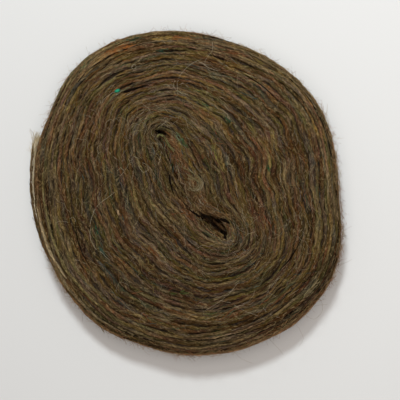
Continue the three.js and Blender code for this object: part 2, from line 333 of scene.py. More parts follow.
class TubeBatch:  # closed tubes gathered into one mesh
    def __init__(self):
        self.points, self.corners, self.counts, self.uvs, self.colors = [], [], [], [], []
        self.total = 0
        self.faces = 0

    # centres and normals are F x R x 3, width and height F x R or less, and color is a linear
    # colour for each tube, ring or point. lobes makes the section uneven.
    def add(self, centres, normals, width, height, sides, color, lobes=1.0, shift=0.0):
        tubes, rings = centres.shape[:2]
        tangent = unit(np.gradient(centres, axis=1))
        across = unit(np.cross(normals, tangent))
        normal = np.cross(tangent, across)
        phi = sectionAngles(sides)
        width = np.broadcast_to(width, (tubes, rings))[..., None, None] / 2
        height = np.broadcast_to(height, (tubes, rings))[..., None, None] / 2
        lobes = np.broadcast_to(lobes, (tubes, rings, sides))[..., None]
        ring = (across[:, :, None] * np.cos(phi)[:, None] * width
                + normal[:, :, None] * np.sin(phi)[:, None] * height) * lobes
        points = centres[:, :, None] + ring
        points[..., 2] = np.maximum(points[..., 2], lowest)
        start = self.total + (np.arange(tubes) * rings * sides)[:, None, None]
        at = start + (np.arange(rings - 1) * sides)[:, None] + np.arange(sides)
        on = start + (np.arange(rings - 1) * sides)[:, None] + (np.arange(sides) + 1) % sides
        quads = np.stack([at, on, on + sides, at + sides], axis=-1).reshape(-1, 4)
        length = np.concatenate([np.zeros((tubes, 1)), np.cumsum(
            np.linalg.norm(np.diff(centres, axis=1), axis=-1), axis=1)], axis=1)
        girth = np.pi * (width.mean() + height.mean()) / sides
        shift = np.broadcast_to(shift, (tubes,))[:, None, None]
        u = np.broadcast_to(length[:, :-1, None] + shift, at.shape)
        uNext = np.broadcast_to(length[:, 1:, None] + shift, at.shape)
        v = np.broadcast_to(np.arange(sides) * girth + shift, at.shape)
        uv = np.stack([np.stack([u, v], -1), np.stack([u, v + girth], -1),
                       np.stack([uNext, v + girth], -1), np.stack([uNext, v], -1)], axis=-2)
        caps = np.concatenate([start[:, 0] + np.arange(sides)[::-1],
                               start[:, 0] + (rings - 1) * sides + np.arange(sides)])
        self.points.append(points.reshape(-1, 3))
        self.corners += [quads.reshape(-1), caps.reshape(-1)]
        self.counts += [np.full(len(quads), 4), np.full(len(caps), sides)]
        self.uvs += [uv.reshape(-1, 2), np.zeros((caps.size, 2))]
        color = np.asarray(color, float)
        while color.ndim < 4:
            color = color[:, None] if color.ndim < 3 else color[:, :, None]
        self.colors.append(np.broadcast_to(color, (tubes, rings, sides, 3)).reshape(-1, 3))
        self.total += tubes * rings * sides
        self.faces += len(quads) * 2 + len(caps) * (sides - 2)
        return points

    def addOne(self, centre, normal, width, height, sides, color, lobes=None, shift=0.0):
        lobes = 1.0 if lobes is None else lobes[None]
        return self.add(centre[None], normal[None], width[None], height[None], sides, color[None],
                        lobes, shift)[0]

    def addFibres(self, centres, thick, color, flatness=0.8, normals=None):
        normals = skyward(centres) if normals is None else normals
        self.add(centres, normals, thick, thick * flatness, 3, color)

    def toObject(self, name, material, replaced="wound_plate", slot="wool"):
        points = np.concatenate(self.points) * metre
        corners, counts = np.concatenate(self.corners), np.concatenate(self.counts)
        mesh = bpy.data.meshes.new(name)
        mesh.vertices.add(len(points))
        mesh.vertices.foreach_set("co", points.astype(np.float32).reshape(-1))
        mesh.loops.add(len(corners))
        mesh.loops.foreach_set("vertex_index", corners.astype(np.int32))
        mesh.polygons.add(len(counts))
        starts = np.concatenate([[0], np.cumsum(counts)[:-1]])
        mesh.polygons.foreach_set("loop_start", starts.astype(np.int32))
        mesh.update(calc_edges=True)
        layer = mesh.uv_layers.new(name="alongStrand")
        layer.data.foreach_set("uv", (np.concatenate(self.uvs) * metre).astype(np.float32).reshape(-1))
        dye = mesh.attributes.new("dye", "FLOAT_COLOR", "POINT")
        colors = np.ones((len(points), 4), np.float32)
        colors[:, :3] = np.concatenate(self.colors)
        dye.data.foreach_set("color", colors.reshape(-1))
        mesh.shade_smooth()
        mesh.materials.append(material)
        piece = bpy.data.objects.new(name, mesh)
        bpy.context.scene.collection.objects.link(piece)
        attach(piece, "root")
        if replaced:
            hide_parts(replaced)
        triangleCounts[name] = self.faces
        return piece


def smoothNoise(rng, length, wave, count=3):  # uneven but smooth, about -1 to 1, for lengths in mm
    value = np.zeros_like(length)
    for i in range(count):
        value += np.sin(length / (wave * (0.6 + 0.5 * i) / (2 * np.pi)) + rng.uniform(0, 2 * np.pi)) / (i + 1)
    return value / 1.4


def smoothAlong(values, rounds):  # each row's values evened out along it
    for _ in range(rounds):
        padded = np.concatenate([values[:, :1], values, values[:, -1:]], axis=1)
        values = (padded[:, :-2] + 2 * padded[:, 1:-1] + padded[:, 2:]) / 4
    return values


def sway(rng, at, size):  # smooth noise of an amount and a wave's length
    return size[0] * smoothNoise(rng, at, size[1])


def unevenSection(rng, at, size, sides):
    return 1 + np.stack([sway(rng, at, size) for _ in range(sides)], axis=-1)


def runAlong(points):  # how far each point is from the first, along them
    return np.concatenate([[0], np.cumsum(np.linalg.norm(np.diff(points, axis=0), axis=1))])


def fibreTaper(rings, full):  # thinner at both ends
    return np.clip(full - np.abs(np.linspace(-1, 1, rings)) ** 3, 0.2, 1)


def anyOf(rng, codes, count):
    return dyesOf(codes)[rng.integers(0, len(codes), count)]


# Materials.


def addNode(tree, kind, settings=None, links=None):
    node = tree.nodes.new(kind)
    for name, value in (settings or {}).items():
        if isinstance(name, str) and hasattr(node, name):
            setattr(node, name, value)
        else:
            node.inputs[name].default_value = value
    for name, source in (links or {}).items():
        tree.links.new(source, node.inputs[name])
    return node


def mapRange(tree, source, here, there):
    return addNode(tree, "ShaderNodeMapRange", {"From Min": here[0], "From Max": here[1],
                                                "To Min": there[0], "To Max": there[1]}, {"Value": source})


def newMaterial(name, roughness, specular):
    material = bpy.data.materials.new(name)
    material.use_nodes = True
    tree = material.node_tree
    tree.nodes.clear()
    shader = addNode(tree, "ShaderNodeBsdfPrincipled")
    shader.inputs["Roughness"].default_value = roughness
    shader.inputs["Specular IOR Level"].default_value = specular
    addNode(tree, "ShaderNodeOutputMaterial", links={"Surface": shader.outputs[0]})
    return material, tree, shader


woolLook = {
    "roughness": 0.95,
    "fibreRoughness": 0.85,
    "specular": 0.02,
    "mottle": (0.42, 1.45),  # how dark and how light the mottling makes the dye's colour
    "mottleFrom": (0.34, 0.68),  # of the noise
    "mottleCell": (3.2, 0.9),  # along the strand and across it
    "crimp": 1.1,  # how far the hairs wave sideways
    "crimpCell": (4.2, 3.0),
    # each kind of hair: slant, cell, breadth as a part of it, shift, and how strongly it shows
    # dark lines, partly dark hairs and partly painted shade in the gaps between hairs
    "darkHairsAndGapShade": (0.10, (6.0, 1.6), 0.045, 0.31, 0.55),
    "lightHairs": (-0.16, (5.2, 1.3), 0.040, 0.17, 0.70),
    "paleHairs": (0.30, (7.5, 2.2), 0.028, 0.53, 0.45),
    "dark": "#1c130a",
    "lighter": 2.3,  # times the dye's colour
    "pale": "#9a8560",
    "bumpStrength": 0.7,
    "bumpHeight": 0.4,
}


def cellNoise(tree, place, cell, settings, slant=0.0, shift=0.0):  # noise in cells of so many millimetres
    scale = (cell[0] * metre, cell[1] * metre, 1)
    turned = addNode(tree, "ShaderNodeMapping",
                     {"vector_type": "TEXTURE", "Location": (shift, shift, 0), "Rotation": (0, 0, slant),
                      "Scale": scale}, {"Vector": place.outputs[0]})
    return addNode(tree, "ShaderNodeTexNoise", {"Scale": 1.0, **settings}, {"Vector": turned.outputs[0]})


def wavedPlace(tree, look):  # the strand's own map, waved sideways as crimped wool is
    uv = addNode(tree, "ShaderNodeUVMap", {"uv_map": "alongStrand"})
    wave = cellNoise(tree, uv, look["crimpCell"], {"Detail": 1.0})
    centred = addNode(tree, "ShaderNodeVectorMath", {"operation": "SUBTRACT", 1: (0.5, 0.5, 0.5)},
                      {0: wave.outputs["Color"]})
    reach = (0, 2 * look["crimp"] * metre, 0)
    sideways = addNode(tree, "ShaderNodeVectorMath", {"operation": "MULTIPLY", 1: reach},
                       {0: centred.outputs[0]})
    return addNode(tree, "ShaderNodeVectorMath", {"operation": "ADD"},
                   {0: uv.outputs[0], 1: sideways.outputs[0]})


def hairLines(tree, place, slant, cell, width, shift):  # 1 on thin wandering lines, 0 beside them
    noise = cellNoise(tree, place, cell, {"Detail": 1.0, "Roughness": 0.4}, slant, shift)
    centred = addNode(tree, "ShaderNodeMath", {"operation": "SUBTRACT", 1: 0.5}, {0: noise.outputs[0]})
    away = addNode(tree, "ShaderNodeMath", {"operation": "ABSOLUTE"}, {0: centred.outputs[0]})
    return mapRange(tree, away.outputs[0], (0.25 * width, width), (1.0, 0.0))


def blend(tree, first, second, mask, strength):  # second laid over first where the mask is 1
    part = addNode(tree, "ShaderNodeMath", {"operation": "MULTIPLY", 1: strength}, {0: mask.outputs[0]})
    mixed = addNode(tree, "ShaderNodeMix", {"data_type": "RGBA"}, {0: part.outputs[0], 6: first})
    if isinstance(second, list):
        mixed.inputs[7].default_value = second
    else:
        tree.links.new(second, mixed.inputs[7])
    return mixed.outputs[2]


def cardedWool(look):
    # Carded wool roving: matt and hairy. Crimped hairs, light and dark, wander along the strand,
    # drawn about 0.5 mm wide because single fibres are too fine to show. The dark lines are partly dark hairs
    # and partly painted shade between the hairs.
    material, tree, shader = newMaterial("carded wool roving", look["roughness"], look["specular"])
    place = wavedPlace(tree, look)
    mottle = cellNoise(tree, place, look["mottleCell"], {"Detail": 3.0, "Roughness": 0.65})
    amount = mapRange(tree, mottle.outputs[0], look["mottleFrom"], look["mottle"])
    dye = addNode(tree, "ShaderNodeAttribute", {"attribute_name": "dye"})
    base = addNode(tree, "ShaderNodeVectorMath", {"operation": "SCALE"},
                   {0: dye.outputs["Color"], "Scale": amount.outputs[0]})
    lighter = addNode(tree, "ShaderNodeVectorMath", {"operation": "SCALE", "Scale": look["lighter"]},
                      {0: dye.outputs["Color"]})
    color, hairs = base.outputs[0], {}
    for kind, over in (("darkHairsAndGapShade", linearColor(look["dark"])), ("lightHairs", lighter.outputs[0]),
                       ("paleHairs", linearColor(look["pale"]))):
        hairs[kind] = hairLines(tree, place, *look[kind][:4])
        color = blend(tree, color, over, hairs[kind], look[kind][4])
    tree.links.new(color, shader.inputs["Base Color"])
    height = addNode(tree, "ShaderNodeMath", {"operation": "ADD"},
                     {0: mottle.outputs[0], 1: hairs["lightHairs"].outputs[0]})
    bump = addNode(tree, "ShaderNodeBump",
                   {"Strength": look["bumpStrength"], "Distance": look["bumpHeight"] * metre},
                   {"Height": height.outputs[0]})
    tree.links.new(bump.outputs[0], shader.inputs["Normal"])
    return material


def woolFibre(look):
    # Loose wool fibres, each of one dye, lying over the strands.
    material, tree, shader = newMaterial("dyed wool fibre", look["fibreRoughness"], look["specular"])
    dye = addNode(tree, "ShaderNodeAttribute", {"attribute_name": "dye"})
    tree.links.new(dye.outputs["Color"], shader.inputs["Base Color"])
    return material


corePlan = {
    "inset": 1.9,  # how far inside the plate's solid it lies
    "mergeDistance": 0.01,
    "grains": 0.7,  # a millimetre
    # painted shade: these darkest browns stand for the shade deep under the turns
    "stops": [(0.38, "#1c130a"), (0.62, "#463420")],
}


def shadedWool(plan):
    # Wool deep between the turns, painted dark for the shade it lies in.
    material, tree, shader = newMaterial("packed wool under the turns", 1.0, 0.5)
    place = addNode(tree, "ShaderNodeTexCoord")
    noise = addNode(tree, "ShaderNodeTexNoise", {"Scale": plan["grains"] / metre, "Detail": 3.0},
                    {"Vector": place.outputs["Object"]})
    ramp = addNode(tree, "ShaderNodeValToRGB", links={"Fac": noise.outputs[0]})
    for element, (place, code) in zip(ramp.color_ramp.elements, plan["stops"]):
        element.position = place
        element.color = linearColor(code)
    tree.links.new(ramp.outputs[0], shader.inputs["Base Color"])
    return material


roving = cardedWool(woolLook)
fibre = woolFibre(woolLook)
print("wool materials made")

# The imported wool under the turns.


def makeCore(plan):
    bpy.ops.object.select_all(action="DESELECT")
    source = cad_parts["wound_plate"]
    core = bpy.data.objects.new("packedCore", source.data.copy())
    bpy.context.scene.collection.objects.link(core)
    core.select_set(True)
    bpy.context.view_layer.objects.active = core
    core.data.materials.clear()
    core.data.materials.append(shadedWool(plan))
    bpy.ops.object.mode_set(mode="EDIT")
    bpy.ops.mesh.select_all(action="SELECT")
    bpy.ops.mesh.remove_doubles(threshold=plan["mergeDistance"] * metre)
    bpy.ops.transform.shrink_fatten(value=-plan["inset"] * metre)
    bpy.ops.object.mode_set(mode="OBJECT")
    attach(core, "root")
    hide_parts("wound_plate")
    return core


core = makeCore(corePlan)
print("core made")

# The turns.

turnsPlan = {
    "topLanes": 28,
    "sideLanes": 14,
    "underLanes": 20,
    "slitLanes": 4,
    "arc": (60, 200),  # how long a turn stays on top before it dives under its neighbour
    "overlap": 14,
    "drift": 1.8,
    # what comes and goes along a turn: by how much, and its wave
    "stray": (0.75, 60),
    "waver": (0.40, 15),
    "bob": (0.7, 50),
    "swell": (0.24, 26),
    "lobes": (0.13, 14),
    "toneSway": (0.16, 45),
    "lift": 0.6,
    "dive": 2.0,
    "width": 1.02,  # of the pitch
    "heightRange": (1.6, 3.6),
    "tip": (6, 0.25),  # how long it is, and how thin
    "mixed": 0.35,  # how much of the colour is mixed at random
    "tone": (0.64, 1.18),  # how dark and how light whole turns are
    "paintedFlankShade": 0.55,  # painted shade: how dark a turn is painted at its sides, where it lies in the next turn's shade
    "lead": 0.42,  # how far a turn leans to one colour
    "leadLength": 21,
    "paintedLight": (0.10, 0.40),  # painted light: how much lighter a turn is painted towards the right and towards the top
    "paintedLightReach": 85,
    "paintedSlitShade": (28, 35, 0.45),  # painted shade deep in the slit: between these heights the colour falls to this
    "sink": 0.0,
    "fit": False,
    "flat": False,
}

# How much further out than the plain form the side's turns lie, by bearing.
sideFit = [
    (0, -0.6), (24, -1.0), (50, -0.9), (62, -0.3), (84, -0.3), (100, 0), (114, 0.6), (128, 0.3),
    (138, -0.7), (150, -0.8), (160, 0), (200, 0), (208, -0.8), (226, -1.0), (234, -0.1), (258, -0.4),
    (268, -0.9), (278, -0.8), (286, 0.3), (298, 0.6), (308, 1.4), (314, 1.3), (322, 0.1), (330, -0.9),
    (345, -0.6), (360, -0.6),
]


def fitOut(turn, share):
    bearings, moves = zip(*sideFit)
    part = np.clip((share - 1.05) / 0.35, 0, 1) * np.clip((2.0 - share) / 0.3, 0, 1)
    return np.interp((plateForm["slitBearing"] - 360 * turn) % 360, bearings, moves) * part


def leadColors(rng, at, wave):  # one colour after another along a strand
    count = int((at[-1] - at[0]) / wave) + 3
    colors = pickColors(rng, "leads", count)
    place = (at - at[0]) / wave + rng.uniform(0, 1)
    return np.stack([np.interp(place, np.arange(count), colors[:, k]) for k in range(3)], axis=-1)


def paintedFlankShadeTone(sides, dark):  # painted shade: 1 on a strand's crest, and painted dark at its sides and below, where shade falls
    return (dark + (1 - dark) * np.clip(np.sin(sectionAngles(sides)), 0, 1))[None, :, None]


def windStrands(batch, rng, shareRange, lanes, step, sides, plan):
    # one long spiral between two shares, cut into arcs that surface and dive
    first, last = shareRange
    perLane = (last - first) / lanes
    rounds = np.linspace(0, lanes, lanes * 96 + 1)
    run = runAlong(plateSurface(rounds % 1.0, first + perLane * rounds))
    overlap = plan["overlap"]
    here, strands = 0.0, []
    while here < run[-1] - 5:
        long = rng.uniform(*plan["arc"])
        a, b = max(here - overlap, 0.0), min(here + long + overlap, run[-1])
        rings = max(int((b - a) / step), 6)
        at = np.linspace(a, b, rings)
        turn = np.interp(at, run, rounds)
        base = first + perLane * turn
        pitch = stretchAt(turn, base, shareStep=0.002) * perLane
        sideways = rng.uniform(-1, 1) * plan["drift"] * ((at - a) / (b - a) - 0.5)
        sideways += sway(rng, at, plan["stray"]) + sway(rng, at, plan["waver"])
        moved = np.clip(base + sideways / pitch * perLane, first, last)
        centre, normal = plateSurface(turn, moved), surfaceNormal(turn, moved)
        width = pitch * (plan["width"] + sway(rng, at, plan["swell"]))
        height = np.clip(width * 0.95, *plan["heightRange"])
        ends = np.minimum(at - a, b - at)
        dive = plan["dive"] * (1 - np.clip(ends / overlap, 0, 1)) ** 2
        lift = plan["lift"] * (rng.uniform(-1, 1) + sway(rng, at, plan["bob"]))
        sunk = -height / 2 + lift - dive - gapDepth(centre) - plan["sink"]
        if plan["fit"]:
            sunk = sunk + fitOut(turn, moved)
        if plan["flat"]:
            sunk = -height / 2 - 0.1 - np.abs(lift) * 0.4 - dive
        centre = centre + normal * sunk[:, None]
        taper = np.clip(ends / plan["tip"][0] + plan["tip"][1], 0, 1)
        lobes = unevenSection(rng, at, plan["lobes"], sides)
        shares = moved[:, None] + np.cos(sectionAngles(sides)) * (width / 2 / pitch * perLane)[:, None]
        color = heatherAt(turn[:, None] + 0 * shares, shares) * (1 - plan["mixed"])
        color += pickColors(rng, "mix", (rings, sides)) * plan["mixed"]
        lead = leadColors(rng, at, plan["leadLength"])
        color = color + (lead[:, None] - color) * plan["lead"]
        color[..., 2] *= (1 + sway(rng, at, heather["blueSway"]))[:, None]
        toneAndPaintedLight = rng.uniform(*plan["tone"]) * (1 + sway(rng, at, plan["toneSway"]))
        # painted light: lighter towards the right and the top
        toRight, toTop = centre[:, 0] / plan["paintedLightReach"], centre[:, 1] / plan["paintedLightReach"]
        toneAndPaintedLight = toneAndPaintedLight * (1 + plan["paintedLight"][0] * toRight + plan["paintedLight"][1] * np.clip(toTop, 0, 1))
        if last <= 0:  # painted shade: darker the deeper down in the slit
            low, high, dark = plan["paintedSlitShade"]
            toneAndPaintedLight = toneAndPaintedLight * (dark + (1 - dark) * np.clip((centre[:, 2] - low) / (high - low), 0, 1))
        # painted light and shade: the turn's tone, lighter towards the top and right, and darker at its sides
        color = color * toneAndPaintedLight[:, None, None] * paintedFlankShadeTone(sides, plan["paintedFlankShade"])
        width, height = width * taper, height * taper
        points = batch.addOne(centre, normal, width, height, sides, color, lobes, rng.uniform(0, patternRun))
        strands.append({"points": points, "centre": centre, "normal": normal, "turn": turn, "share": moved,
                        "width": width, "height": height, "toneAndPaintedLight": toneAndPaintedLight, "lead": lead})
        here += long
    return strands


# Loose turns that have sunk into the slit and its pit: diameter, colour and route.
slitRovings = [
    (4.6, "#5a452c", [(-16, 39.5, 36.4), (-9.2, 32, 37), (-4.2, 22, 37.4), (0.6, 11.5, 37.5), (6.2, 2, 37.4),
                      (11.4, -7, 37.2), (17, -12.4, 36.8)]),
    (4.4, "#3a2a18", [(-18.6, 33, 29), (-14, 23, 30.4), (-9.4, 11.5, 31.4), (-4, 1, 33), (2.6, -9, 35.6),
                      (8, -17, 36)]),
    (3.2, "#55442c", [(-14, 30.6, 35.2), (-11.2, 23.4, 36.2), (-7.6, 15, 36.8), (-3.6, 7, 37),
                      (0.6, -1, 37.2), (5.6, -8.2, 37.2), (9.4, -13.2, 36.6)]),
    (4.4, "#4a3824", [(0.8, 3, 37), (5.6, -4.2, 37.6), (11.4, -10.6, 37.8), (18, -14, 37.8),
                      (25.4, -14.8, 37.6), (33, -15.6, 37.4)]),
    (2.6, "#4a3622", [(3.4, -7, 37), (7.4, -10.8, 37.2), (12.6, -13.6, 37), (18.4, -15.4, 36.4),
                      (24, -16, 35.6)]),
    (1.8, "#66663f", [(-22.9, 36.2, 36.6), (-21.6, 39.2, 37.4), (-19.4, 40.3, 37.8), (-17.1, 39.2, 38),
                      (-15, 36, 38.2), (-12.8, 32.4, 38.4), (-10, 27.6, 38.4)]),
    (3.0, "#46341f", [(35, -17.6, 37.2), (33.6, -22.6, 36.8), (30.6, -28.2, 36.4), (27, -33.4, 36.2),
                      (23.6, -37, 37)]),
    (2.4, "#3d2b1a", [(16, -17.6, 26), (19.4, -20.6, 30.4), (21.8, -22.4, 31.6), (24, -24, 30),
                      (27, -26.4, 26)]),
    (3.0, "#241a10", [(8, -16, 31), (13, -20.6, 26), (18, -25.4, 25), (22.4, -30, 26), (25, -35, 30)]),
]

slitPlan = {
    "waver": [(0.4, 13), (0.4, 15), (0.4, 19)],  # in x, y and z: by how much, and the wave
    "swell": (0.2, 16),
    "lobes": (0.14, 9),
    "tip": (5, 0.3),
    "flatness": 0.85,
    "mixed": 0.3,
}

# Turns that stand apart on the shoulder: both turns, both shares, width, lift and colour. The pale tans of
# the outermost turns, at shares about 1.5, are partly the wool's own colour and partly painted light, lighter
# where the rim faces away from the key light.
edgeRows = [
    (0.69, 0.87, 1.10, 1.26, 2.5, 1.0, "#766d46"), (0.66, 0.84, 1.27, 1.42, 2.5, 1.1, "#85775a"),
    (0.745, 0.85, 1.26, 1.47, 2.5, 1.6, "#c4ae86"), (0.44, 0.61, 1.34, 1.43, 2.4, 1.0, "#86704f"),
    (0.70, 0.82, 0.98, 1.08, 2.6, 0.8, "#6c6240"), (0.62, 0.79, 1.42, 1.54, 2.3, 0.8, "#b08c62"),
    (0.47, 0.66, 1.48, 1.56, 2.3, 1.1, "#dcac80"), (0.40, 0.56, 1.50, 1.56, 2.2, 1.1, "#d0a478"),
    (0.50, 0.64, 1.18, 1.26, 2.4, 0.7, "#6b5a3c"), (0.38, 0.47, 1.42, 1.50, 2.2, 0.8, "#7c6446"),
    (0.10, 0.27, 0.98, 1.12, 2.3, 0.8, "#64553c"), (0.07, 0.28, 1.16, 1.31, 2.2, 0.9, "#6e6046"),
    (0.12, 0.31, 1.34, 1.44, 2.1, 0.8, "#736247"), (0.26, 0.40, 1.28, 1.42, 2.2, 0.7, "#66553a"),
    (0.93, 1.10, 1.28, 1.39, 2.3, 0.9, "#7a6a46"), (0.88, 1.04, 1.46, 1.54, 2.2, 0.8, "#75704c"),
    (0.96, 1.14, 1.50, 1.56, 2.0, 0.8, "#9a8260"), (0.13, 0.36, 1.50, 1.56, 2.0, 1.0, "#b29e76"),
    (0.795, 0.925, 1.53, 1.58, 2.6, 2.2, "#5f4c32"), (0.81, 0.93, 1.39, 1.46, 2.6, 1.7, "#6c5236"),
]

edgePlan = {
    "shareSway": (0.010, 46),
    "swell": (0.2, 24),
    "toneSway": (0.16, 30),
    "lobes": (0.12, 12),
    "lean": 0.6,  # how far it leans to its own colour
    "paintedLight": 0.20,  # painted light: how much lighter it is painted towards the top
    # painted shade at the turn's sides
    "paintedFlankShade": 0.6,
    "flatness": 0.9,
    "sides": 8,
}

# Painted shade: near black strips laid in the gaps between the turns of the rim: both turns, the share and
# the breadth.
rimShadeRows = [
    (0.37, 0.50, 1.30, 0.9), (0.41, 0.56, 1.18, 0.9), (0.52, 0.66, 1.40, 0.8), (0.56, 0.70, 1.24, 0.8),
    (0.60, 0.74, 1.50, 0.6), (0.68, 0.78, 1.36, 0.9), (0.72, 0.86, 1.16, 0.9), (0.10, 0.26, 1.04, 0.8),
    (0.12, 0.30, 1.24, 0.7), (0.05, 0.20, 1.42, 0.7), (0.22, 0.36, 1.34, 0.7), (0.90, 1.04, 1.34, 0.7),
    (0.94, 1.07, 1.12, 0.7), (0.50, 0.62, 1.06, 0.8),
]

rimShadePlan = {
    "rings": 40,
    "length": 100,  # about, for the noise
    "slope": 0.03,
    "shareSway": (0.008, 40),
    "swell": (0.6, 22),
    "inset": 0.3,
    "height": 0.6,
    # the painted shade's colour
    "color": "#120c07",
}


def looseStrand(batch, rng, points, diameter, color, plan, sides=10, step=2.0):  # one along a route
    line = smoothRows(points, np.linspace(0, len(points) - 1, 400), False)
    run = runAlong(line)
    at = np.linspace(0, run[-1], max(int(run[-1] / step), 6))
    centre = np.stack([np.interp(at, run, line[:, k]) for k in range(3)], axis=-1)
    for k in range(3):
        centre[:, k] += sway(rng, at, plan["waver"][k])
    ends = np.minimum(at, run[-1] - at)
    taper = np.clip(ends / plan["tip"][0] + plan["tip"][1], 0, 1)
    width = diameter * taper * (1 + sway(rng, at, plan["swell"]))
    lobes = unevenSection(rng, at, plan["lobes"], sides)
    return batch.addOne(centre, skyward(centre), width, width * plan["flatness"], sides, color, lobes,
                        rng.uniform(0, patternRun))


def thinEnds(part, end):  # 1 at the middle and little at both ends
    return np.sin(np.pi * (end + (1 - 2 * end) * part))


def placeEdgeTurns(batch, rng, rows, step, plan):
    strands, sides = [], plan["sides"]
    for turn0, turn1, share0, share1, width, lift, code in rows:
        fine = np.linspace(0, 1, 300)
        run = runAlong(plateSurface(turn0 + (turn1 - turn0) * fine, share0 + (share1 - share0) * fine))
        at = np.arange(0, run[-1], step)
        part = np.interp(at, run, fine)
        turn = turn0 + (turn1 - turn0) * part
        share = share0 + (share1 - share0) * part + sway(rng, at, plan["shareSway"])
        normal = surfaceNormal(turn, share)
        up = lift * thinEnds(part, 0.02) ** 0.5 - width * 0.5 + fitOut(turn, share)
        centre = plateSurface(turn, share) + normal * up[:, None]
        wide = width * (1 + sway(rng, at, plan["swell"])) * thinEnds(part, 0.04) ** 0.4
        color = pickColors(rng, "mix", (len(at), sides))
        lead = dyeOf(code)
        color = color + (lead - color) * plan["lean"]
        # painted light towards the top
        toTop = np.clip(centre[:, 1] / turnsPlan["paintedLightReach"], 0, 1)
        toneAndPaintedLight = 1 + sway(rng, at, plan["toneSway"]) + plan["paintedLight"] * toTop
        lobes = unevenSection(rng, at, plan["lobes"], sides)
        # painted light towards the top, and painted shade at the turn's sides
        color = color * toneAndPaintedLight[:, None, None] * paintedFlankShadeTone(sides, plan["paintedFlankShade"])
        high = wide * plan["flatness"]
        points = batch.addOne(centre, normal, wide, high, sides, color, lobes, rng.uniform(0, patternRun))
        strands.append({"points": points, "centre": centre, "normal": normal, "turn": turn, "share": share,
                        "width": wide, "height": high, "toneAndPaintedLight": toneAndPaintedLight, "lead": lead + 0 * centre})
    return strands


def paintRimShade(batch, rng, rows, plan):  # near black strip: painted shade between two turns of the rim
    part = np.linspace(0, 1, plan["rings"])
    at = part * plan["length"]
    for turn0, turn1, middle, broad in rows:
        turn = turn0 + (turn1 - turn0) * part
        share = middle + plan["slope"] * (part - 0.5) + sway(rng, at, plan["shareSway"])
        normal = surfaceNormal(turn, share)
        centre = plateSurface(turn, share) + normal * (fitOut(turn, share) - plan["inset"])[:, None]
        wide = broad * np.clip(thinEnds(part, 0.02) * (1 + sway(rng, at, plan["swell"])), 0.1, 2)
        batch.addOne(centre, normal, wide, 0 * wide + plan["height"], 6, dyeOf(plan["color"]))


rng = np.random.default_rng(61)
topStep, sideStep, underStep = 2.6, 4.2, 7.0  # between a strand's rings
topBatch = TubeBatch()
topStrands = windStrands(topBatch, rng, (0.0, 1.0), turnsPlan["topLanes"], topStep, 12, turnsPlan)
topStrands += windStrands(topBatch, rng, (-0.9, 0.0), turnsPlan["slitLanes"], topStep, 10, turnsPlan)
topBatch.toObject("topTurns", roving)

slitBatch = TubeBatch()
topTubes = [strand["points"] for strand in topStrands]
for diameter, code, route in slitRovings:
    color = pickColors(rng, "mix", 1)[0] * slitPlan["mixed"] + dyeOf(code) * (1 - slitPlan["mixed"])
    route = np.array(route) - plateMiddle
    topTubes.append(looseStrand(slitBatch, rng, route, diameter, color, slitPlan))
slitBatch.toObject("slitTurns", roving)

sideAndRimShadeBatch = TubeBatch()
# the side's turns, with lighter painted shade at their sides
sideStrands = windStrands(sideAndRimShadeBatch, rng, (1.0, 2.0), turnsPlan["sideLanes"], sideStep, 10,
                          dict(turnsPlan, paintedFlankShade=0.7, sink=0.7, fit=True))
edgeStrands = placeEdgeTurns(sideAndRimShadeBatch, rng, edgeRows, sideStep, edgePlan)
paintRimShade(sideAndRimShadeBatch, rng, rimShadeRows, rimShadePlan)
sideAndRimShadeBatch.toObject("sideTurnsAndRimShade", roving)

underBatch = TubeBatch()
windStrands(underBatch, rng, (2.02, 2.98), turnsPlan["underLanes"], underStep, 8,
            dict(turnsPlan, heightRange=(1.6, 2.2), flat=True))
underBatch.toObject("underTurns", roving)
print("turns wound")

# How high the turns lie, for what lies on them.

gridCell = 0.5
gridLow = -118.0
gridSize = 472


def heightGrid(tubes):
    grid = np.full((gridSize, gridSize), -1.0)
    for tube in tubes:
        rings = tube.shape[0]
        fine = np.linspace(0, rings - 1, (rings - 1) * 6 + 1)
        low = np.clip(np.floor(fine).astype(int), 0, rings - 2)
        part = (fine - low)[:, None, None]
        dense = tube[low] * (1 - part) + tube[low + 1] * part
        nextSide = np.roll(dense, -1, axis=1)
        for share in (0.0, 0.34, 0.67):
            points = (dense * (1 - share) + nextSide * share).reshape(-1, 3)
            cell = ((points[:, :2] - gridLow) / gridCell).astype(int)
            good = ((cell >= 0) & (cell < gridSize)).all(axis=1)
            np.maximum.at(grid, (cell[good, 0], cell[good, 1]), points[good, 2])
    return grid


def blurGrid(grid):
    return (grid + np.roll(grid, 1, 0) + np.roll(grid, -1, 0)
            + np.roll(grid, 1, 1) + np.roll(grid, -1, 1)) / 5


topGrid = heightGrid(topTubes + [strand["points"] for strand in sideStrands + edgeStrands])
topGrid = blurGrid(np.where(topGrid < 0, plateForm["height"] / 2, topGrid))


def heightAt(points):
    cell = np.clip((points[..., :2] - gridLow) / gridCell - 0.5, 0, gridSize - 1.01)
    low = np.floor(cell).astype(int)
    partX, partY = np.moveaxis(cell - low, -1, 0)
    x, y = np.moveaxis(low, -1, 0)
    near, far = [topGrid[x, row] * (1 - partX) + topGrid[x + 1, row] * partX for row in (y, y + 1)]
    return near * (1 - partY) + far * partY


print("heights read")

# The fibres on the turns.

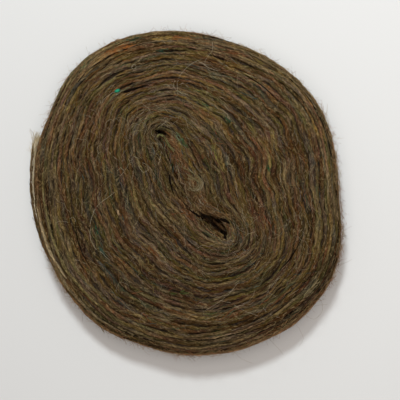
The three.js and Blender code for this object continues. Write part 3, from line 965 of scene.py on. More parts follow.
fibrePlan = {
    "top": 7200,  # that keep to their turn
    "side": 1050,
    "edge": 750,
    "crossing": 2400,  # that wander over to the next turns
    "length": (5, 13),
    "thick": (0.16, 0.40),
    "rings": 8,
    "around": (0.85, 1.3),  # how far from a turn's crest they lie, mostly and at most, in radians
    "lift": (0.06, 0.12, 0.14),  # off the turn: its mean, its spread, and how far each comes and goes
    "slant": 0.24,
    "crossLift": (0.05, 0.14, 0.15),
    "crossSlant": 0.48,
    "crossBend": 0.008,
    "crimp": (0.15, 0.52),
    "crimpWave": (3.0, 6.0),
    "plain": (0.6, 0.55),  # how many have a dye of their own: along the turns, and across them
    "lead": 0.3,  # how far the others lean to their turn's colour
    "tone": (0.65, 1.55),
    "blueTone": (0.5, 1.26),
    "paleFrom": (0.15, 0.16),  # from this tone on they are drawn finer
    "paleThin": 0.6,
}


def joinStrands(strands, onTop):  # all strands' rings in one row, with the ends of each ring's strand
    keys = ("centre", "normal", "turn", "share", "width", "height", "toneAndPaintedLight", "lead")
    rows = {key: np.concatenate([strand[key] for strand in strands]) for key in keys}
    sizes = np.array([len(strand["centre"]) for strand in strands])
    rows["first"] = np.repeat(np.cumsum(sizes) - sizes, sizes)
    rows["last"] = np.repeat(np.cumsum(sizes) - 1, sizes)
    ahead = np.concatenate([unit(np.gradient(strand["centre"], axis=0)) for strand in strands])
    rows["across"] = unit(np.cross(rows["normal"], ahead))
    crest = rows["centre"][:, 2] + rows["height"] / 2
    rows["shows"] = crest > heightAt(rows["centre"]) - 0.8 if onTop else rows["height"] > 1.0
    return rows


def layOnTurns(batch, rng, count, rows, ringStep, plan):  # fibres that keep to their turn
    rings = plan["rings"]
    ring = rng.choice(np.flatnonzero(rows["shows"]), count)
    length = rng.uniform(*plan["length"], count)
    step = np.linspace(-0.5, 0.5, rings)[None] * length[:, None]
    first, last = rows["first"][ring], rows["last"][ring] - 0.01
    half = length / 2 / ringStep
    middle = np.clip(ring, first + half, last - half)
    place = np.clip(middle[:, None] + step / ringStep, first[:, None], last[:, None])
    low = np.floor(place).astype(int)
    part = place - low

    def between(key):
        values = rows[key]
        share = part if values.ndim == 1 else part[..., None]
        return values[low] * (1 - share) + values[low + 1] * share

    wide, high = between("width") / 2, between("height") / 2
    wave = rng.uniform(*plan["crimpWave"], count)[:, None]
    phase = rng.uniform(0, 2 * np.pi, (2, count, 1))
    crimp = rng.uniform(*plan["crimp"], count)[:, None]
    sideways = step * rng.normal(0, plan["slant"], count)[:, None]
    sideways += crimp * np.sin(step / wave * 2 * np.pi + phase[0])
    spread, most = plan["around"]
    around = np.clip(rng.normal(0, spread, count), -most, most)[:, None]
    angle = np.clip(around + sideways / np.maximum(wide, 0.8), -most - 0.3, most + 0.3)
    mean, spread, comes = plan["lift"]
    lift = rng.normal(mean, spread, count)[:, None] + comes * np.sin(step / wave * 2 * np.pi + phase[1])
    centre = between("centre") + between("across") * (np.sin(angle) * (wide + lift))[..., None]
    normal = unit(between("normal"))
    centre = centre + normal * (np.cos(angle) * (high + lift))[..., None]
    dyed = heatherAt(rows["turn"][ring], rows["share"][ring] + rng.normal(0, 0.008, count), False)
    plain = pickColors(rng, "fibres", count)
    color = np.where((rng.random(count) < plan["plain"][0])[:, None], plain, dyed)
    color = (1 - plan["lead"]) * color + plan["lead"] * rows["lead"][ring]
    color = color * rng.uniform(*plan["tone"], count)[:, None]
    # painted shade: fibres darker the further they lie from their turn's crest
    color = color * (rows["toneAndPaintedLight"][ring] * (0.7 + 0.3 * np.cos(around[:, 0])))[:, None]
    color[:, 2] *= rng.uniform(*plan["blueTone"], count)
    thick = rng.uniform(*plan["thick"], count)
    thick = thick * np.where(color.mean(axis=1) > plan["paleFrom"][0], plan["paleThin"], 1)
    batch.addFibres(centre, thick[:, None] * fibreTaper(rings, 1.25), color, normals=normal)


def layAcross(batch, rng, count, shareRange, plan):  # fibres on top that wander over several turns
    rings = plan["rings"]
    first, last = shareRange
    spread, turn0 = rng.uniform(first, last, count * 3), rng.uniform(0, 1, count * 3)
    perRound = stretchAt(turn0, spread, turnStep=0.002)
    perShare = stretchAt(turn0, spread, shareStep=0.003)
    weight = perRound * perShare  # so that they lie as thick everywhere
    keep = rng.choice(count * 3, count, replace=False, p=weight / weight.sum())
    spread, turn0, perRound, perShare = spread[keep], turn0[keep], perRound[keep], perShare[keep]
    length = rng.uniform(*plan["length"], count)
    step = np.linspace(-0.5, 0.5, rings)[None] * length[:, None]
    turn = turn0[:, None] + step / np.maximum(perRound, 60)[:, None]
    sideways = step * rng.normal(0, plan["crossSlant"], count)[:, None]
    wave = rng.uniform(*plan["crimpWave"], count)[:, None]
    crimp = rng.uniform(*plan["crimp"], count)[:, None]
    sideways += crimp * np.sin(step / wave * 2 * np.pi + rng.uniform(0, 2 * np.pi, count)[:, None])
    sideways += rng.normal(0, plan["crossBend"], count)[:, None] * step ** 2
    share = np.clip(spread[:, None] + sideways / perShare[:, None], first - 0.02, last + 0.01)
    centre, normal = plateSurface(turn, share), surfaceNormal(turn, share)
    thick = rng.uniform(*plan["thick"], count)
    mean, spreadUp, comes = plan["crossLift"]
    lift = rng.normal(mean, spreadUp, count)[:, None]
    lift = lift + comes * np.sin(step / wave * 2 * np.pi + rng.uniform(0, 2 * np.pi, count)[:, None])
    centre[..., 2] = smoothAlong(heightAt(centre), 1) + lift
    dyed = heatherAt(turn0 + rng.normal(0, 0.01, count), spread + rng.normal(0, 0.006, count), False)
    plain = pickColors(rng, "fibres", count)
    color = np.where((rng.random(count) < plan["plain"][1])[:, None], plain, dyed)
    color = color * rng.uniform(*plan["tone"], count)[:, None]
    thick = thick * np.where(color.mean(axis=1) > plan["paleFrom"][1], plan["paleThin"], 1)
    batch.addFibres(centre, thick[:, None] * fibreTaper(rings, 1.25), color, normals=normal)


topRows = joinStrands(topStrands, True)
for number in range(3):
    topFibres = TubeBatch()
    layOnTurns(topFibres, rng, fibrePlan["top"] // 3, topRows, topStep, fibrePlan)
    topFibres.toObject("topFibres%d" % (number + 1), fibre)

sideFibres = TubeBatch()
layOnTurns(sideFibres, rng, fibrePlan["side"], joinStrands(sideStrands, False), sideStep, fibrePlan)
layOnTurns(sideFibres, rng, fibrePlan["edge"], joinStrands(edgeStrands, False), sideStep, fibrePlan)
sideFibres.toObject("sideFibres", fibre)

crossFibres = TubeBatch()
layAcross(crossFibres, rng, fibrePlan["crossing"], (0.02, 1.0), fibrePlan)
crossFibres.toObject("crossFibres", fibre)
print("fibres laid")

# Curling hairs that start anywhere and lie on the turns: in the slit, in tufts, and strays.


def curlPaths(rng, start, heading, length, rings, bend, sway, swayWave):
    count = len(start)
    step = (length / (rings - 1))[:, None]
    t = np.arange(rings)[None]
    phase = rng.uniform(0, 2 * np.pi, count)[:, None]
    turnBy = bend[:, None] + sway[:, None] * np.sin(t * step / swayWave[:, None] * 2 * np.pi + phase)
    angle = heading[:, None] + np.cumsum(turnBy * step, axis=1)
    moves = np.stack([np.cos(angle), np.sin(angle)], axis=-1) * step[..., None]
    flat = start[:, None, :2] + np.cumsum(moves, axis=1) - moves[:, :1]
    return np.concatenate([flat, np.zeros((count, rings, 1))], axis=-1)


slitFibrePlan = {
    "count": 340,
    "length": (4, 11),
    "thick": (0.14, 0.32),
    "reach": 6.0,
    "fan": 0.3,  # how far their headings spread, in radians
    "bend": 0.05,
    "sway": (0.1, 0.4),
    "swayWave": (3, 6),
    "lift": (0.05, 0.2),
    "tone": (0.6, 1.3),
    "rings": 8,
}


def bendsOf(rng, count, plan):  # each hair's bend, sway and wave, for curlPaths
    bend = rng.normal(0, plan["bend"], count)
    return bend, rng.uniform(*plan["sway"], count), rng.uniform(*plan["swayWave"], count)


def laySlitFibres(rng, plan):
    batch, count, rings = TubeBatch(), plan["count"], plan["rings"]
    place = rng.uniform(0.2, len(slitRows) - 1.05, count)
    here = smoothRows(slitRows, place, False)[:, :2]
    ahead = smoothRows(slitRows, place + 0.04, False)[:, :2] - here
    heading = np.arctan2(ahead[:, 1], ahead[:, 0]) + rng.normal(0, plan["fan"], count)
    here = here - plateMiddle[:2] + rng.uniform(-1, 1, (count, 2)) * plan["reach"]
    length = rng.uniform(*plan["length"], count)
    centre = curlPaths(rng, here, heading, length, rings, *bendsOf(rng, count, plan))
    centre[..., 2] = smoothAlong(heightAt(centre), 2) + rng.normal(*plan["lift"], count)[:, None]
    thick = rng.uniform(*plan["thick"], count)[:, None] * fibreTaper(rings, 1.2)
    color = pickColors(rng, "fibres", count) * rng.uniform(*plan["tone"], count)[:, None]
    batch.addFibres(centre, thick, color)
    return batch


laySlitFibres(rng, slitFibrePlan).toObject("slitFibres", fibre)

# Tufts of one dye: x, y, length, breadth, bearing, how many fibres, and colour.
tuftRows = [
    (-49.1, 70.6, 2.6, 1.6, 20, 22, "#25916c"), (-6.6, 38.2, 6, 2.6, -50, 20, "#6c886a"),
    (-2.8, 34.4, 6, 3, -50, 20, "#3c5738"), (54.4, 17.4, 6, 1.8, -66, 13, "#2c5434"),
    (26.2, 50.4, 5, 1.8, -40, 10, "#2f5440"), (11, 60.6, 4, 1.6, -24, 8, "#2f5240"),
    (-63.1, -25.4, 6, 1.8, -72, 12, "#2c4c34"), (-58.9, -40, 9, 2.6, -62, 16, "#44584a"),
    (-71.3, 90.3, 8, 2, 42, 14, "#2c5a40"), (-48.6, -11.4, 6, 0.7, -84, 9, "#a58a68"),
    (16.4, 33.6, 7, 0.7, -84, 5, "#847a40"), (18.2, 27, 7, 0.6, -68, 5, "#8a8042"),
    (21.4, 20, 8, 0.6, -60, 5, "#847a40"), (-50.7, 99.2, 18, 2.2, 24, 36, "#8a5028"),
    (84, -66, 16, 2.4, 52, 24, "#9a8a68"), (-40, 95, 10, 1.2, 20, 9, "#86714c"),
    (62, -20, 12, 1.2, 80, 9, "#7c6a48"), (-20, -86, 16, 1.4, -8, 12, "#8a7858"),
    (24, -88, 16, 1.4, 8, 12, "#86714e"), (-30, -70, 14, 1.4, -24, 10, "#82714f"),
    (-40.6, 106.8, 18, 1.6, 17, 26, "#34503c"), (-46, 99, 16, 1.8, 24, 40, "#a46532"),
    (-18, 107, 12, 1.4, 6, 48, "#9c7e48"), (-3, 107.4, 14, 1.6, -1, 48, "#a0693c"),
    (-16, 98.4, 10, 1.4, 6, 14, "#2f4a3c"), (30, 96, 16, 1.4, -22, 16, "#74482c"),
    (-24, -40, 9, 1.8, -50, 16, "#7c4a2a"), (-2, -14, 9, 1.4, -50, 12, "#764828"),
    (10, 24, 8, 1.2, -70, 10, "#764630"), (-90, -58, 18, 1.6, -58, 18, "#8a7a54"),
    (-66, -88, 18, 1.4, -40, 18, "#8f7c58"), (0, -110, 24, 1.4, -2, 26, "#93704e"),
    (46, -103, 20, 1.4, 22, 24, "#8f6c4a"), (78, -82, 16, 1.4, 45, 16, "#8a7454"),
    (-6, -68, 10, 1.6, 4, 12, "#4c5a2e"), (34, -56, 10, 1.6, 30, 12, "#425430"),
]


tuftPlan = {
    "spread": 0.28,  # of the breadth
    "length": (0.3, 0.6),  # of the tuft's, between the two next limits
    "lengthRange": (2.0, 7.0),
    "fan": 0.12,
    "bend": 0.03,
    "sway": (0.1, 0.4),
    "swayWave": (2.5, 5),
    "lift": (0.2, 0.6),
    "thick": (0.16, 0.36),
    "tone": (0.5, 1.15),
    "rings": 8,
}


def layTufts(rng, rows, plan):
    batch = TubeBatch()
    for x, y, long, broad, bearing, count, code in rows:
        toward = math.radians(bearing)
        ahead, left = np.array([[math.cos(toward), math.sin(toward)], [-math.sin(toward), math.cos(toward)]])
        along = rng.uniform(-0.5, 0.5, count)[:, None] * long
        across = rng.normal(0, plan["spread"], count)[:, None] * broad
        start = np.array([x, y]) - plateMiddle[:2] + along * ahead + across * left
        length = np.clip(rng.uniform(*plan["length"], count) * long, *plan["lengthRange"])
        start = start - 0.5 * length[:, None] * ahead
        heading = toward + rng.normal(0, plan["fan"], count)
        centre = curlPaths(rng, start, heading, length, plan["rings"], *bendsOf(rng, count, plan))
        centre[..., 2] = smoothAlong(heightAt(centre), 2) + rng.uniform(*plan["lift"], count)[:, None]
        thick = rng.uniform(*plan["thick"], count)[:, None] * np.ones((1, plan["rings"]))
        batch.addFibres(centre, thick, dyeOf(code) * rng.uniform(*plan["tone"], count)[:, None])
    return batch


tuftAndShadeBatch = layTufts(rng, tuftRows, tuftPlan)

# The one round lump of green wool: its middle, length, breadth, bearing and colours, lighter on top and
# darker at its rim as painted highlight and shade.
greenLump = {
    "at": (-49.1, 70.6),
    "long": 4.3,
    "broad": 2.5,
    "bearing": 22,
    # painted highlight in the middle and painted shade at the rim, over the lump's green
    "middle": "#3aa47e",
    "rim": "#155f47",
    "lift": 0.3,  # over the highest turn beside it
    "flatness": 0.6,
    "lobes": 0.12,
    "rings": 12,
    "sides": 10,
}


def layLump(batch, rng, plan):
    rings, sides = plan["rings"], plan["sides"]
    t = np.linspace(-0.98, 0.98, rings)[:, None]
    toward = math.radians(plan["bearing"])
    ahead = np.array([math.cos(toward), math.sin(toward), 0])
    centre = np.array([*plan["at"], 0]) - plateMiddle + t * plan["long"] / 2 * ahead
    centre[:, 2] = heightAt(centre).max() + plan["lift"]
    dome = np.sqrt(1 - t ** 2)
    lobes = 1 + plan["lobes"] * rng.normal(0, 1, (rings, sides))
    # painted highlight and shade: lighter where the lump faces up, darker at its sides and ends
    inner = np.clip(np.sin(sectionAngles(sides)), 0, 1) * dome
    rim, middle = dyesOf([plan["rim"], plan["middle"]])
    color = rim + (middle - rim) * (inner ** 3)[..., None] * rng.uniform(0.5, 1, (rings, sides, 1))
    wide = plan["broad"] * dome[:, 0]
    batch.addOne(centre, skyward(centre), wide, wide * plan["flatness"], sides, color, lobes)


layLump(tuftAndShadeBatch, rng, greenLump)

# Painted shade: near black ribbons laid on deep narrow gaps between two turns: the points of each, with its
# breadth there.
creaseShadeRows = [
    [(-46.6, 69.4, 0.4), (-43.4, 69.9, 2.0), (-38.6, 71.4, 2.2), (-33, 73, 1.4), (-27.4, 74, 0.4)],
    [(-1.6, -10.2, 0.4), (2.6, -12.8, 1.0), (6.4, -15.2, 1.6), (9.8, -17.6, 1.2)],
    [(-14.2, 15.4, 0.4), (-13.4, 10.8, 1.4), (-12.6, 6.4, 1.6), (-11.2, 1.8, 0.8), (-9.4, -2, 0.3)],
    [(-23.4, 43, 0.6), (-21.6, 43.2, 2.0), (-19.6, 42.4, 2.0), (-17.4, 41, 0.6)],
    [(17.4, -16.8, 0.8), (21.4, -17.6, 2.2), (25.4, -18.8, 2.4), (28.2, -20.6, 1.2)],
    [(20.4, -24.6, 0.8), (22.6, -27.2, 2.4), (24.6, -29.6, 2.4), (26, -32, 0.8)],
    [(-56, 77, 0.3), (-50, 80, 0.7), (-42, 82.4, 0.6), (-34, 84, 0.3)],
    [(34, 84, 0.3), (44, 78.4, 0.8), (54, 71, 0.7), (62, 63, 0.3)],
    [(-18.8, 35.4, 0.4), (-16.4, 30.2, 1.4), (-14, 24.6, 1.4), (-11.4, 17.6, 0.4)],
    [(-4, -78, 0.3), (10, -80, 0.8), (24, -79, 0.7), (36, -76, 0.3)],
    [(56, -58, 0.3), (66, -49, 0.9), (74, -38, 0.8), (79, -27, 0.3)],
    [(-78, -18, 0.3), (-76.6, -30, 0.8), (-72.6, -42, 0.7), (-66, -53, 0.3)],
]


creaseShadePlan = {
    "rings": 22,
    "jitter": 0.05,
    "swell": (0.15, 9),
    "lift": 0.15,
    "height": (0.35, 0.25),  # at least, and for each millimetre of breadth
    # the painted shade's colour
    "color": "#120c07",
}


def layCreaseShade(batch, rng, rows, plan):
    rings = plan["rings"]
    for row in rows:
        line = smoothRows(row, np.linspace(0, len(row) - 1, rings), False)
        centre = line.copy()
        centre[:, :2] += rng.normal(0, plan["jitter"], (rings, 2)) - plateMiddle[:2]
        centre[:, 2] = smoothAlong(heightAt(centre)[None], 2)[0] + plan["lift"] * (1 + line[:, 2])
        wide = line[:, 2] * (1 + sway(rng, np.arange(float(rings)), plan["swell"]))
        high = plan["height"][0] + plan["height"][1] * wide
        # a near black ribbon of painted shade
        batch.addOne(centre, skyward(centre), wide, high, 6, dyeOf(plan["color"]))


layCreaseShade(tuftAndShadeBatch, rng, creaseShadeRows, creaseShadePlan)
tuftAndShadeBatch.toObject("dyedTuftsAndCreaseShade", fibre)

hairPlan = {
    "count": 640,
    "length": (5, 18),
    "thick": (0.07, 0.15),
    "colors": ["#a0927a", "#93856a", "#7e6e54", "#ad9f86", "#786848", "#877a4c"],
    "fan": 0.6,
    "bend": 0.12,
    "sway": (0.12, 0.55),
    "swayWave": (3, 9),
    "rise": (0.1, 0.8),
    "within": 99,  # of the middle, seen from above
    "above": 33,
    "rings": 20,
}

fuzzPlan = {
    "short": (3000, (1.6, 5.6), 4),  # how many, how long, and how many rings each has
    "long": (46, (5, 11), 12),
    "thick": (0.09, 0.18),
    "colors": ["#9a8058", "#ae9468", "#6e583a", "#8a5c40", "#a06c4c"],
    # how much of it is on each eighth of the outline, clockwise from the slit's first end
    "eighths": [0.08, 0.08, 0.16, 0.20, 0.16, 0.12, 0.10, 0.10],
    "share": (1.25, 1.8),
    "out": (0.15, 0.9),
    "rise": 0.3,
    "curlOut": (-0.1, 0.35),
    "curlAlong": 0.3,
    "wave": 0.05,
    "clearance": 0.3,  # over the table
}


def layHairs(rng, plan):
    batch, count, rings = TubeBatch(), plan["count"], plan["rings"]
    share, turn = rng.uniform(0.0, 1.0, count * 2), rng.uniform(0, 1, count * 2)
    start = plateSurface(turn, share)
    weight = np.hypot(start[:, 0], start[:, 1])
    keep = rng.choice(count * 2, count, replace=False, p=weight / weight.sum())
    start, turn, share = start[keep], turn[keep], share[keep]
    ahead = plateSurface(turn + 0.002, share) - start
    heading = np.arctan2(ahead[:, 1], ahead[:, 0]) + rng.normal(0, plan["fan"], count)
    centre = curlPaths(rng, start, heading, rng.uniform(*plan["length"], count), rings,
                       *bendsOf(rng, count, plan))
    rise = rng.uniform(*plan["rise"], count)[:, None] * thinEnds(np.linspace(0, 1, rings), 0) ** 0.5
    centre[..., 2] = smoothAlong(heightAt(centre), 4) + 0.1 + rise
    inside = np.hypot(centre[..., 0], centre[..., 1]).max(axis=1) < plan["within"]
    centre = centre[inside & (centre[..., 2].min(axis=1) > plan["above"])]
    thick = rng.uniform(*plan["thick"], len(centre))[:, None] * np.ones((1, rings))
    batch.addFibres(centre, thick, anyOf(rng, plan["colors"], len(centre)), 1)
    return batch


def growFuzz(rng, plan):
    batch = TubeBatch()
    for count, lengths, rings in (plan["short"], plan["long"]):
        turn = (rng.choice(8, count, p=plan["eighths"]) + rng.uniform(0, 1, count)) / 8
        share = rng.uniform(*plan["share"], count)
        start, normal = plateSurface(turn, share), surfaceNormal(turn, share)
        ahead = unit(plateSurface(turn + 0.002, share) - start)
        length = rng.uniform(*lengths, count)
        t = np.linspace(0, 1, rings)[None, :, None]
        way = rng.choice([-1, 1], count)[:, None]
        direction = ahead * way + normal * rng.uniform(*plan["out"], count)[:, None]
        direction[:, 2] += rng.normal(0, plan["rise"], count)
        along = t * length[:, None, None]
        curl = normal * rng.normal(*plan["curlOut"], count)[:, None]
        curl += ahead * rng.normal(0, plan["curlAlong"], count)[:, None]
        wave = plan["wave"] * np.sin(t * 9 + rng.uniform(0, 6.3, count)[:, None, None]) * normal[:, None]
        centre = start[:, None] + (unit(direction)[:, None] + curl[:, None] * t + wave) * along
        centre[..., 2] = np.maximum(centre[..., 2], plan["clearance"])
        thick = rng.uniform(*plan["thick"], count)[:, None] * np.linspace(1, 0.7, rings)[None]
        batch.addFibres(centre, thick, anyOf(rng, plan["colors"], count), 1, skyward(centre) + 0.01)
    return batch


# Hairs that show clearly: how many together, thickness, colour and course seen from above.
strayRows = [
    (1, 0.16, "#b9ad95", [(7, 91.6), (0.8, 88.2), (-4.9, 82.5), (-7.2, 77.9), (-7.8, 72.2), (-5.5, 68.8),
                          (-1.4, 67.6)]),
    (1, 0.15, "#b0a48c", [(16.3, 104.2), (16.3, 98.5), (12.3, 92.8), (11.1, 88.2), (14.6, 85.9),
                          (20.3, 84.2)]),
    (1, 0.15, "#b9ad95", [(-22.7, 108), (-18.6, 105.5), (-12.9, 101.4), (-9.5, 98.5)]),
    (1, 0.18, "#b9ad95", [(-59.8, 61.9), (-57.6, 65.3), (-53, 68.8), (-49.5, 69.9)]),
    (1, 0.14, "#b9ad95", [(-39, 87), (-37.6, 88.6), (-36, 87), (-37.6, 85.4), (-39.4, 86.6), (-38, 88)]),
    (1, 0.16, "#a89c84", [(-34.5, 19), (-31.5, 14.7), (-28, 16), (-28.7, 19.5), (-32, 21)]),
    (1, 0.13, "#b9ad95", [(-46, 22), (-43, 24.6), (-40, 22.4), (-37.6, 25), (-34, 24)]),
    (1, 0.13, "#b9ad95", [(-47, 12), (-44.6, 15), (-46.6, 17.6), (-49, 15.4)]),
    (1, 0.18, "#b6aa90", [(-50.3, 1), (-54.4, -1.8), (-61.3, -7.3), (-65.4, -12.8), (-67.5, -21.1),
                          (-67.5, -30.8), (-64.1, -37.7), (-58.5, -41.8), (-54.4, -46)]),
    (1, 0.14, "#b0a48c", [(-91.6, -21.1), (-88.8, -19), (-83.3, -19.7), (-80, -21), (-77.6, -18.6),
                          (-80, -16.2), (-82.2, -18.6), (-79.6, -20.6)]),
    (5, 0.34, "#b0926e", [(-48.9, -8), (-48.6, -11), (-48.4, -14.6)]),
    (2, 0.18, "#8c8062", [(-1.2, 10.2), (0.8, 4.4), (5.6, 1.8), (9.7, 5.3), (8.7, 9.2), (5, 11.3)]),
    (3, 0.18, "#a89d80", [(0.6, 4.8), (3, 2.6), (6.2, 2), (9, 4), (9.9, 7)]),
    (2, 0.18, "#80745a", [(0.1, 9.2), (2.2, 5.3), (5.6, 4.2), (8, 7.1), (6.4, 9.8)]),
    (4, 0.22, "#857a56", [(-6, 15.1), (0.8, 12.1), (6.7, 8.2)]),
    (4, 0.20, "#90865f", [(-7.4, 13.3), (-1.2, 10.6), (2.9, 9.2)]),
    (3, 0.20, "#7c724e", [(-4, 17.4), (2.2, 14.3), (7.7, 10.6)]),
    (2, 0.22, "#8a8046", [(17.5, 34.7), (16.6, 31.2), (16.6, 27.8), (17.3, 24.3), (19.4, 20.9),
                          (22.4, 15.1)]),
    (1, 0.15, "#b0a48c", [(21.4, -73.3), (30, -76), (38, -80.5), (46, -83.6), (52.4, -87)]),
    (1, 0.15, "#b9ad95", [(51, -78.7), (54.4, -82.2), (58.5, -84.2), (62.7, -85.6)]),
    (1, 0.12, "#8f8168", [(78, -70), (86, -71.6), (91.7, -73.9), (93.4, -80.2), (90.3, -86.5), (84.7, -87.2),
                          (80, -82)]),
    (1, 0.11, "#96886c", [(96.6, -77.4), (91.7, -78), (86.1, -79.5), (82.2, -83), (78, -84)]),
    (1, 0.12, "#8f8168", [(53, -98), (58.1, -103.7), (62.3, -108.2), (65.8, -112.6)]),
    (1, 0.10, "#96886c", [(70, -86), (76, -93), (80, -101), (77, -107)]),
    (1, 0.11, "#8f8168", [(30, -108), (36, -115), (45, -119)]),
    (1, 0.10, "#96886c", [(-62, 88), (-69, 95), (-72, 103)]),
]


strayPlan = {
    "rings": 30,
    "length": 20,  # about, for the noise
    "sway": (0.22, 5),
    "lift": 0.65,
    "shift": 0.4,  # of those that lie together, and their tones
    "tone": (0.6, 1.2),
}


def layStrays(batch, rng, rows, plan):
    run = np.linspace(0, plan["length"], plan["rings"])
    for copies, thick, code, row in rows:
        for _ in range(copies):
            line = smoothRows(row, np.linspace(0, len(row) - 1, plan["rings"]), False) - plateMiddle[:2]
            line = line + rng.normal(0, plan["shift"], 2) * (copies > 1)
            x, y = [line[:, k] + sway(rng, run, plan["sway"]) for k in range(2)]
            centre = np.stack([x, y, 0 * run], axis=-1)
            centre[:, 2] = smoothAlong(heightAt(centre)[None], 4)[0] + plan["lift"]
            color = dyeOf(code) * (rng.uniform(*plan["tone"]) if copies > 1 else 1)
            wide = 0 * run + thick
            batch.addOne(centre, skyward(centre), wide, wide, 3, color)


strayBatch = layHairs(rng, hairPlan)
layStrays(strayBatch, rng, strayRows, strayPlan)
strayBatch.toObject("strayHairs", fibre)
growFuzz(rng, fuzzPlan).toObject("sideFuzz", fibre)
print("hairs and fuzz laid")

# The two loose ends.

lockPlan = {
    "twist": 0.5,  # rounds in all
    "angleSway": (0.5, 24),
    "farSway": (0.22, 19),
    "swell": (0.2, 14),
    "lobes": (0.15, 9),
    "flatness": 0.85,
    "sides": 8,
}

fluffPlan = {
    "length": (3, 8),
    "bend": 0.02,
    "swayWave": (3, 6),
    "lift": (-0.2, 0.5),
    "thick": (0.14, 0.34),
    "tone": (0.65, 1.4),
    "rings": 8,
}

frayPlan = {
    "lengths": (0.35, 1),  # of the longest
    "sway": (0.1, 0.4),
    "swayWave": (3, 8),
    "lift": (-0.5, 1),  # of the rise
    "thick": (0.10, 0.26),
    "rings": 14,
}

innerEnd = {
    "route": [(-18.1, 39.2, 30.9), (-15.6, 35.7, 33.7), (-12.4, 30.4, 35.5), (-9.2, 24, 36.1),
              (-6.4, 17.8, 36.3), (-3.6, 11.8, 36.3), (-0.4, 6.4, 36.2), (2.4, 2.4, 36.4)],
    "diameter": 5.0,
    "locks": 9,
    "lockWidth": 2.3,
    "taper": 7,  # how far from its tip it thins
    "step": 1.3,
    "colors": ["#4f3b25", "#524628", "#5c442b", "#422f1c", "#55412a", "#625236", "#382918", "#5a3f28",
               "#4c402a"],
    "tipColor": "#625236",
    "low": 28.0,  # no lock lies lower
    "fluff": dict(fluffPlan, count=420, reach=3.4, fan=0.28, sway=(0.1, 0.4), low=30.0),
    "fray": dict(frayPlan, count=46, length=8, fan=0.5, back=9, bend=0.1, rise=1.6, low=37.0,
                 colors=["#6d5c40", "#857558", "#4f3d26", "#8f8268", "#5c5030"]),
    "curl": {
        "count": 26,
        "at": (3.8, 6.2),
        "radius": (2.6, 4.8),
        "oval": 0.6,
        "first": (160, 0.8),  # the bearing where they start, and its spread in radians
        "round": (1.6, 4.4),
        "scatter": 0.7,
        "low": 38.0,
        "lift": 0.9,
        "thick": (0.10, 0.24),
        "colors": ["#7a6b4c", "#8f8160", "#5b4a2e", "#807254"],
        "rings": 22,
    },
}

outerEnd = {
    "route": [(-86.6, -62.2, 1.4), (-94.8, -52.5, 1.4), (-101, -42.4, 1.4), (-106.2, -29.2, 1.4),
              (-110, -14, 1.4), (-112.2, 2, 1.4), (-112.4, 15, 1.4), (-111.7, 27, 1.4),
              (-110.9, 34.2, 1.4), (-108.6, 38.6, 1.4)],
    "diameter": 2.6,
    "locks": 5,
    "lockWidth": 1.15,
    "taper": 22,
    "step": 1.5,
    "colors": ["#6b583c", "#7a6848", "#54422a", "#86734f", "#5f4e34"],
    "tipColor": "#c4b08a",
    "low": 0.08,
    "fluff": dict(fluffPlan, count=240, reach=0.8, fan=0.08, sway=(0.03, 0.12), low=0.3),
    "fray": dict(frayPlan, count=70, length=10, fan=0.4, back=12, bend=0.08, rise=0.6, low=0.2,
                 colors=["#b09c7c", "#cbb790", "#9c8866", "#d6c6a4"]),
    "pale": {  # between this end and the plate: pale fibres, partly real fluff and partly painted light for the warm light the wool bounces into the gap
        "count": 340,
        "from": 0.42,  # of the way to the tip
        "away": (0.9, 2.6),
        "fan": 0.12,
        "length": (3, 9),
        "bend": (-0.02, 0.03),
        "sway": (0.03, 0.2),
        "swayWave": (3, 6),
        "heights": (0.4, 3.4),
        "thick": (0.10, 0.26),
        "colors": ["#e2d2b2", "#cdb890", "#b8a078", "#ecdfc6"],
        "rings": 8,
    },
}


def routeLine(points, step):  # a smooth line through the points, with even steps
    points = np.array(points, float) - plateMiddle
    line = smoothRows(points, np.linspace(0, len(points) - 1, 600), False)
    run = runAlong(line)
    at = np.linspace(0, run[-1], int(run[-1] / step) + 1)
    return np.stack([np.interp(at, run, line[:, k]) for k in range(3)], axis=-1), run[-1]


def twistLocks(name, plan, rng):
    line, length = routeLine(plan["route"], plan["step"])
    rings, sides = len(line), lockPlan["sides"]
    tangent = unit(np.gradient(line, axis=0))
    side = unit(np.cross(tangent, skyward(line)))
    over = np.cross(side, tangent)
    batch, radius = TubeBatch(), plan["diameter"] / 2
    at = np.linspace(0, length, rings)
    toTip = (rings - 1 - np.arange(rings)) * plan["step"]
    taper = np.clip(toTip / plan["taper"] + 0.3, 0, 1) * np.clip(np.arange(rings) / 3 + 0.5, 0, 1)
    for lock in range(plan["locks"]):
        angle = 2 * np.pi * (lock / plan["locks"] + lockPlan["twist"] * at / length)
        angle = angle + sway(rng, at, lockPlan["angleSway"])
        far = (radius - plan["lockWidth"] * 0.42) * (0.85 + sway(rng, at, lockPlan["farSway"]))
        centre = line + side * (np.cos(angle) * far)[:, None] + over * (np.sin(angle) * far)[:, None]
        width = plan["lockWidth"] * (1 + sway(rng, at, lockPlan["swell"])) * taper
        centre[:, 2] = np.maximum(centre[:, 2], width * 0.4 + plan["low"])
        lobes = unevenSection(rng, at, lockPlan["lobes"], sides)
        color, tip = dyesOf([plan["colors"][lock], plan["tipColor"]])
        color = color + (tip - color) * np.clip(1 - toTip / plan["taper"], 0, 1)[:, None]
        batch.addOne(centre, skyward(centre), width, width * lockPlan["flatness"], sides, color[:, None],
                     lobes, rng.uniform(0, patternRun))
    return batch.toObject(name, roving, None, "loose_wool"), line, length


def bearingAt(line, index):
    ahead = unit(np.gradient(line, axis=0))[index]
    return ahead, np.arctan2(ahead[:, 1], ahead[:, 0])


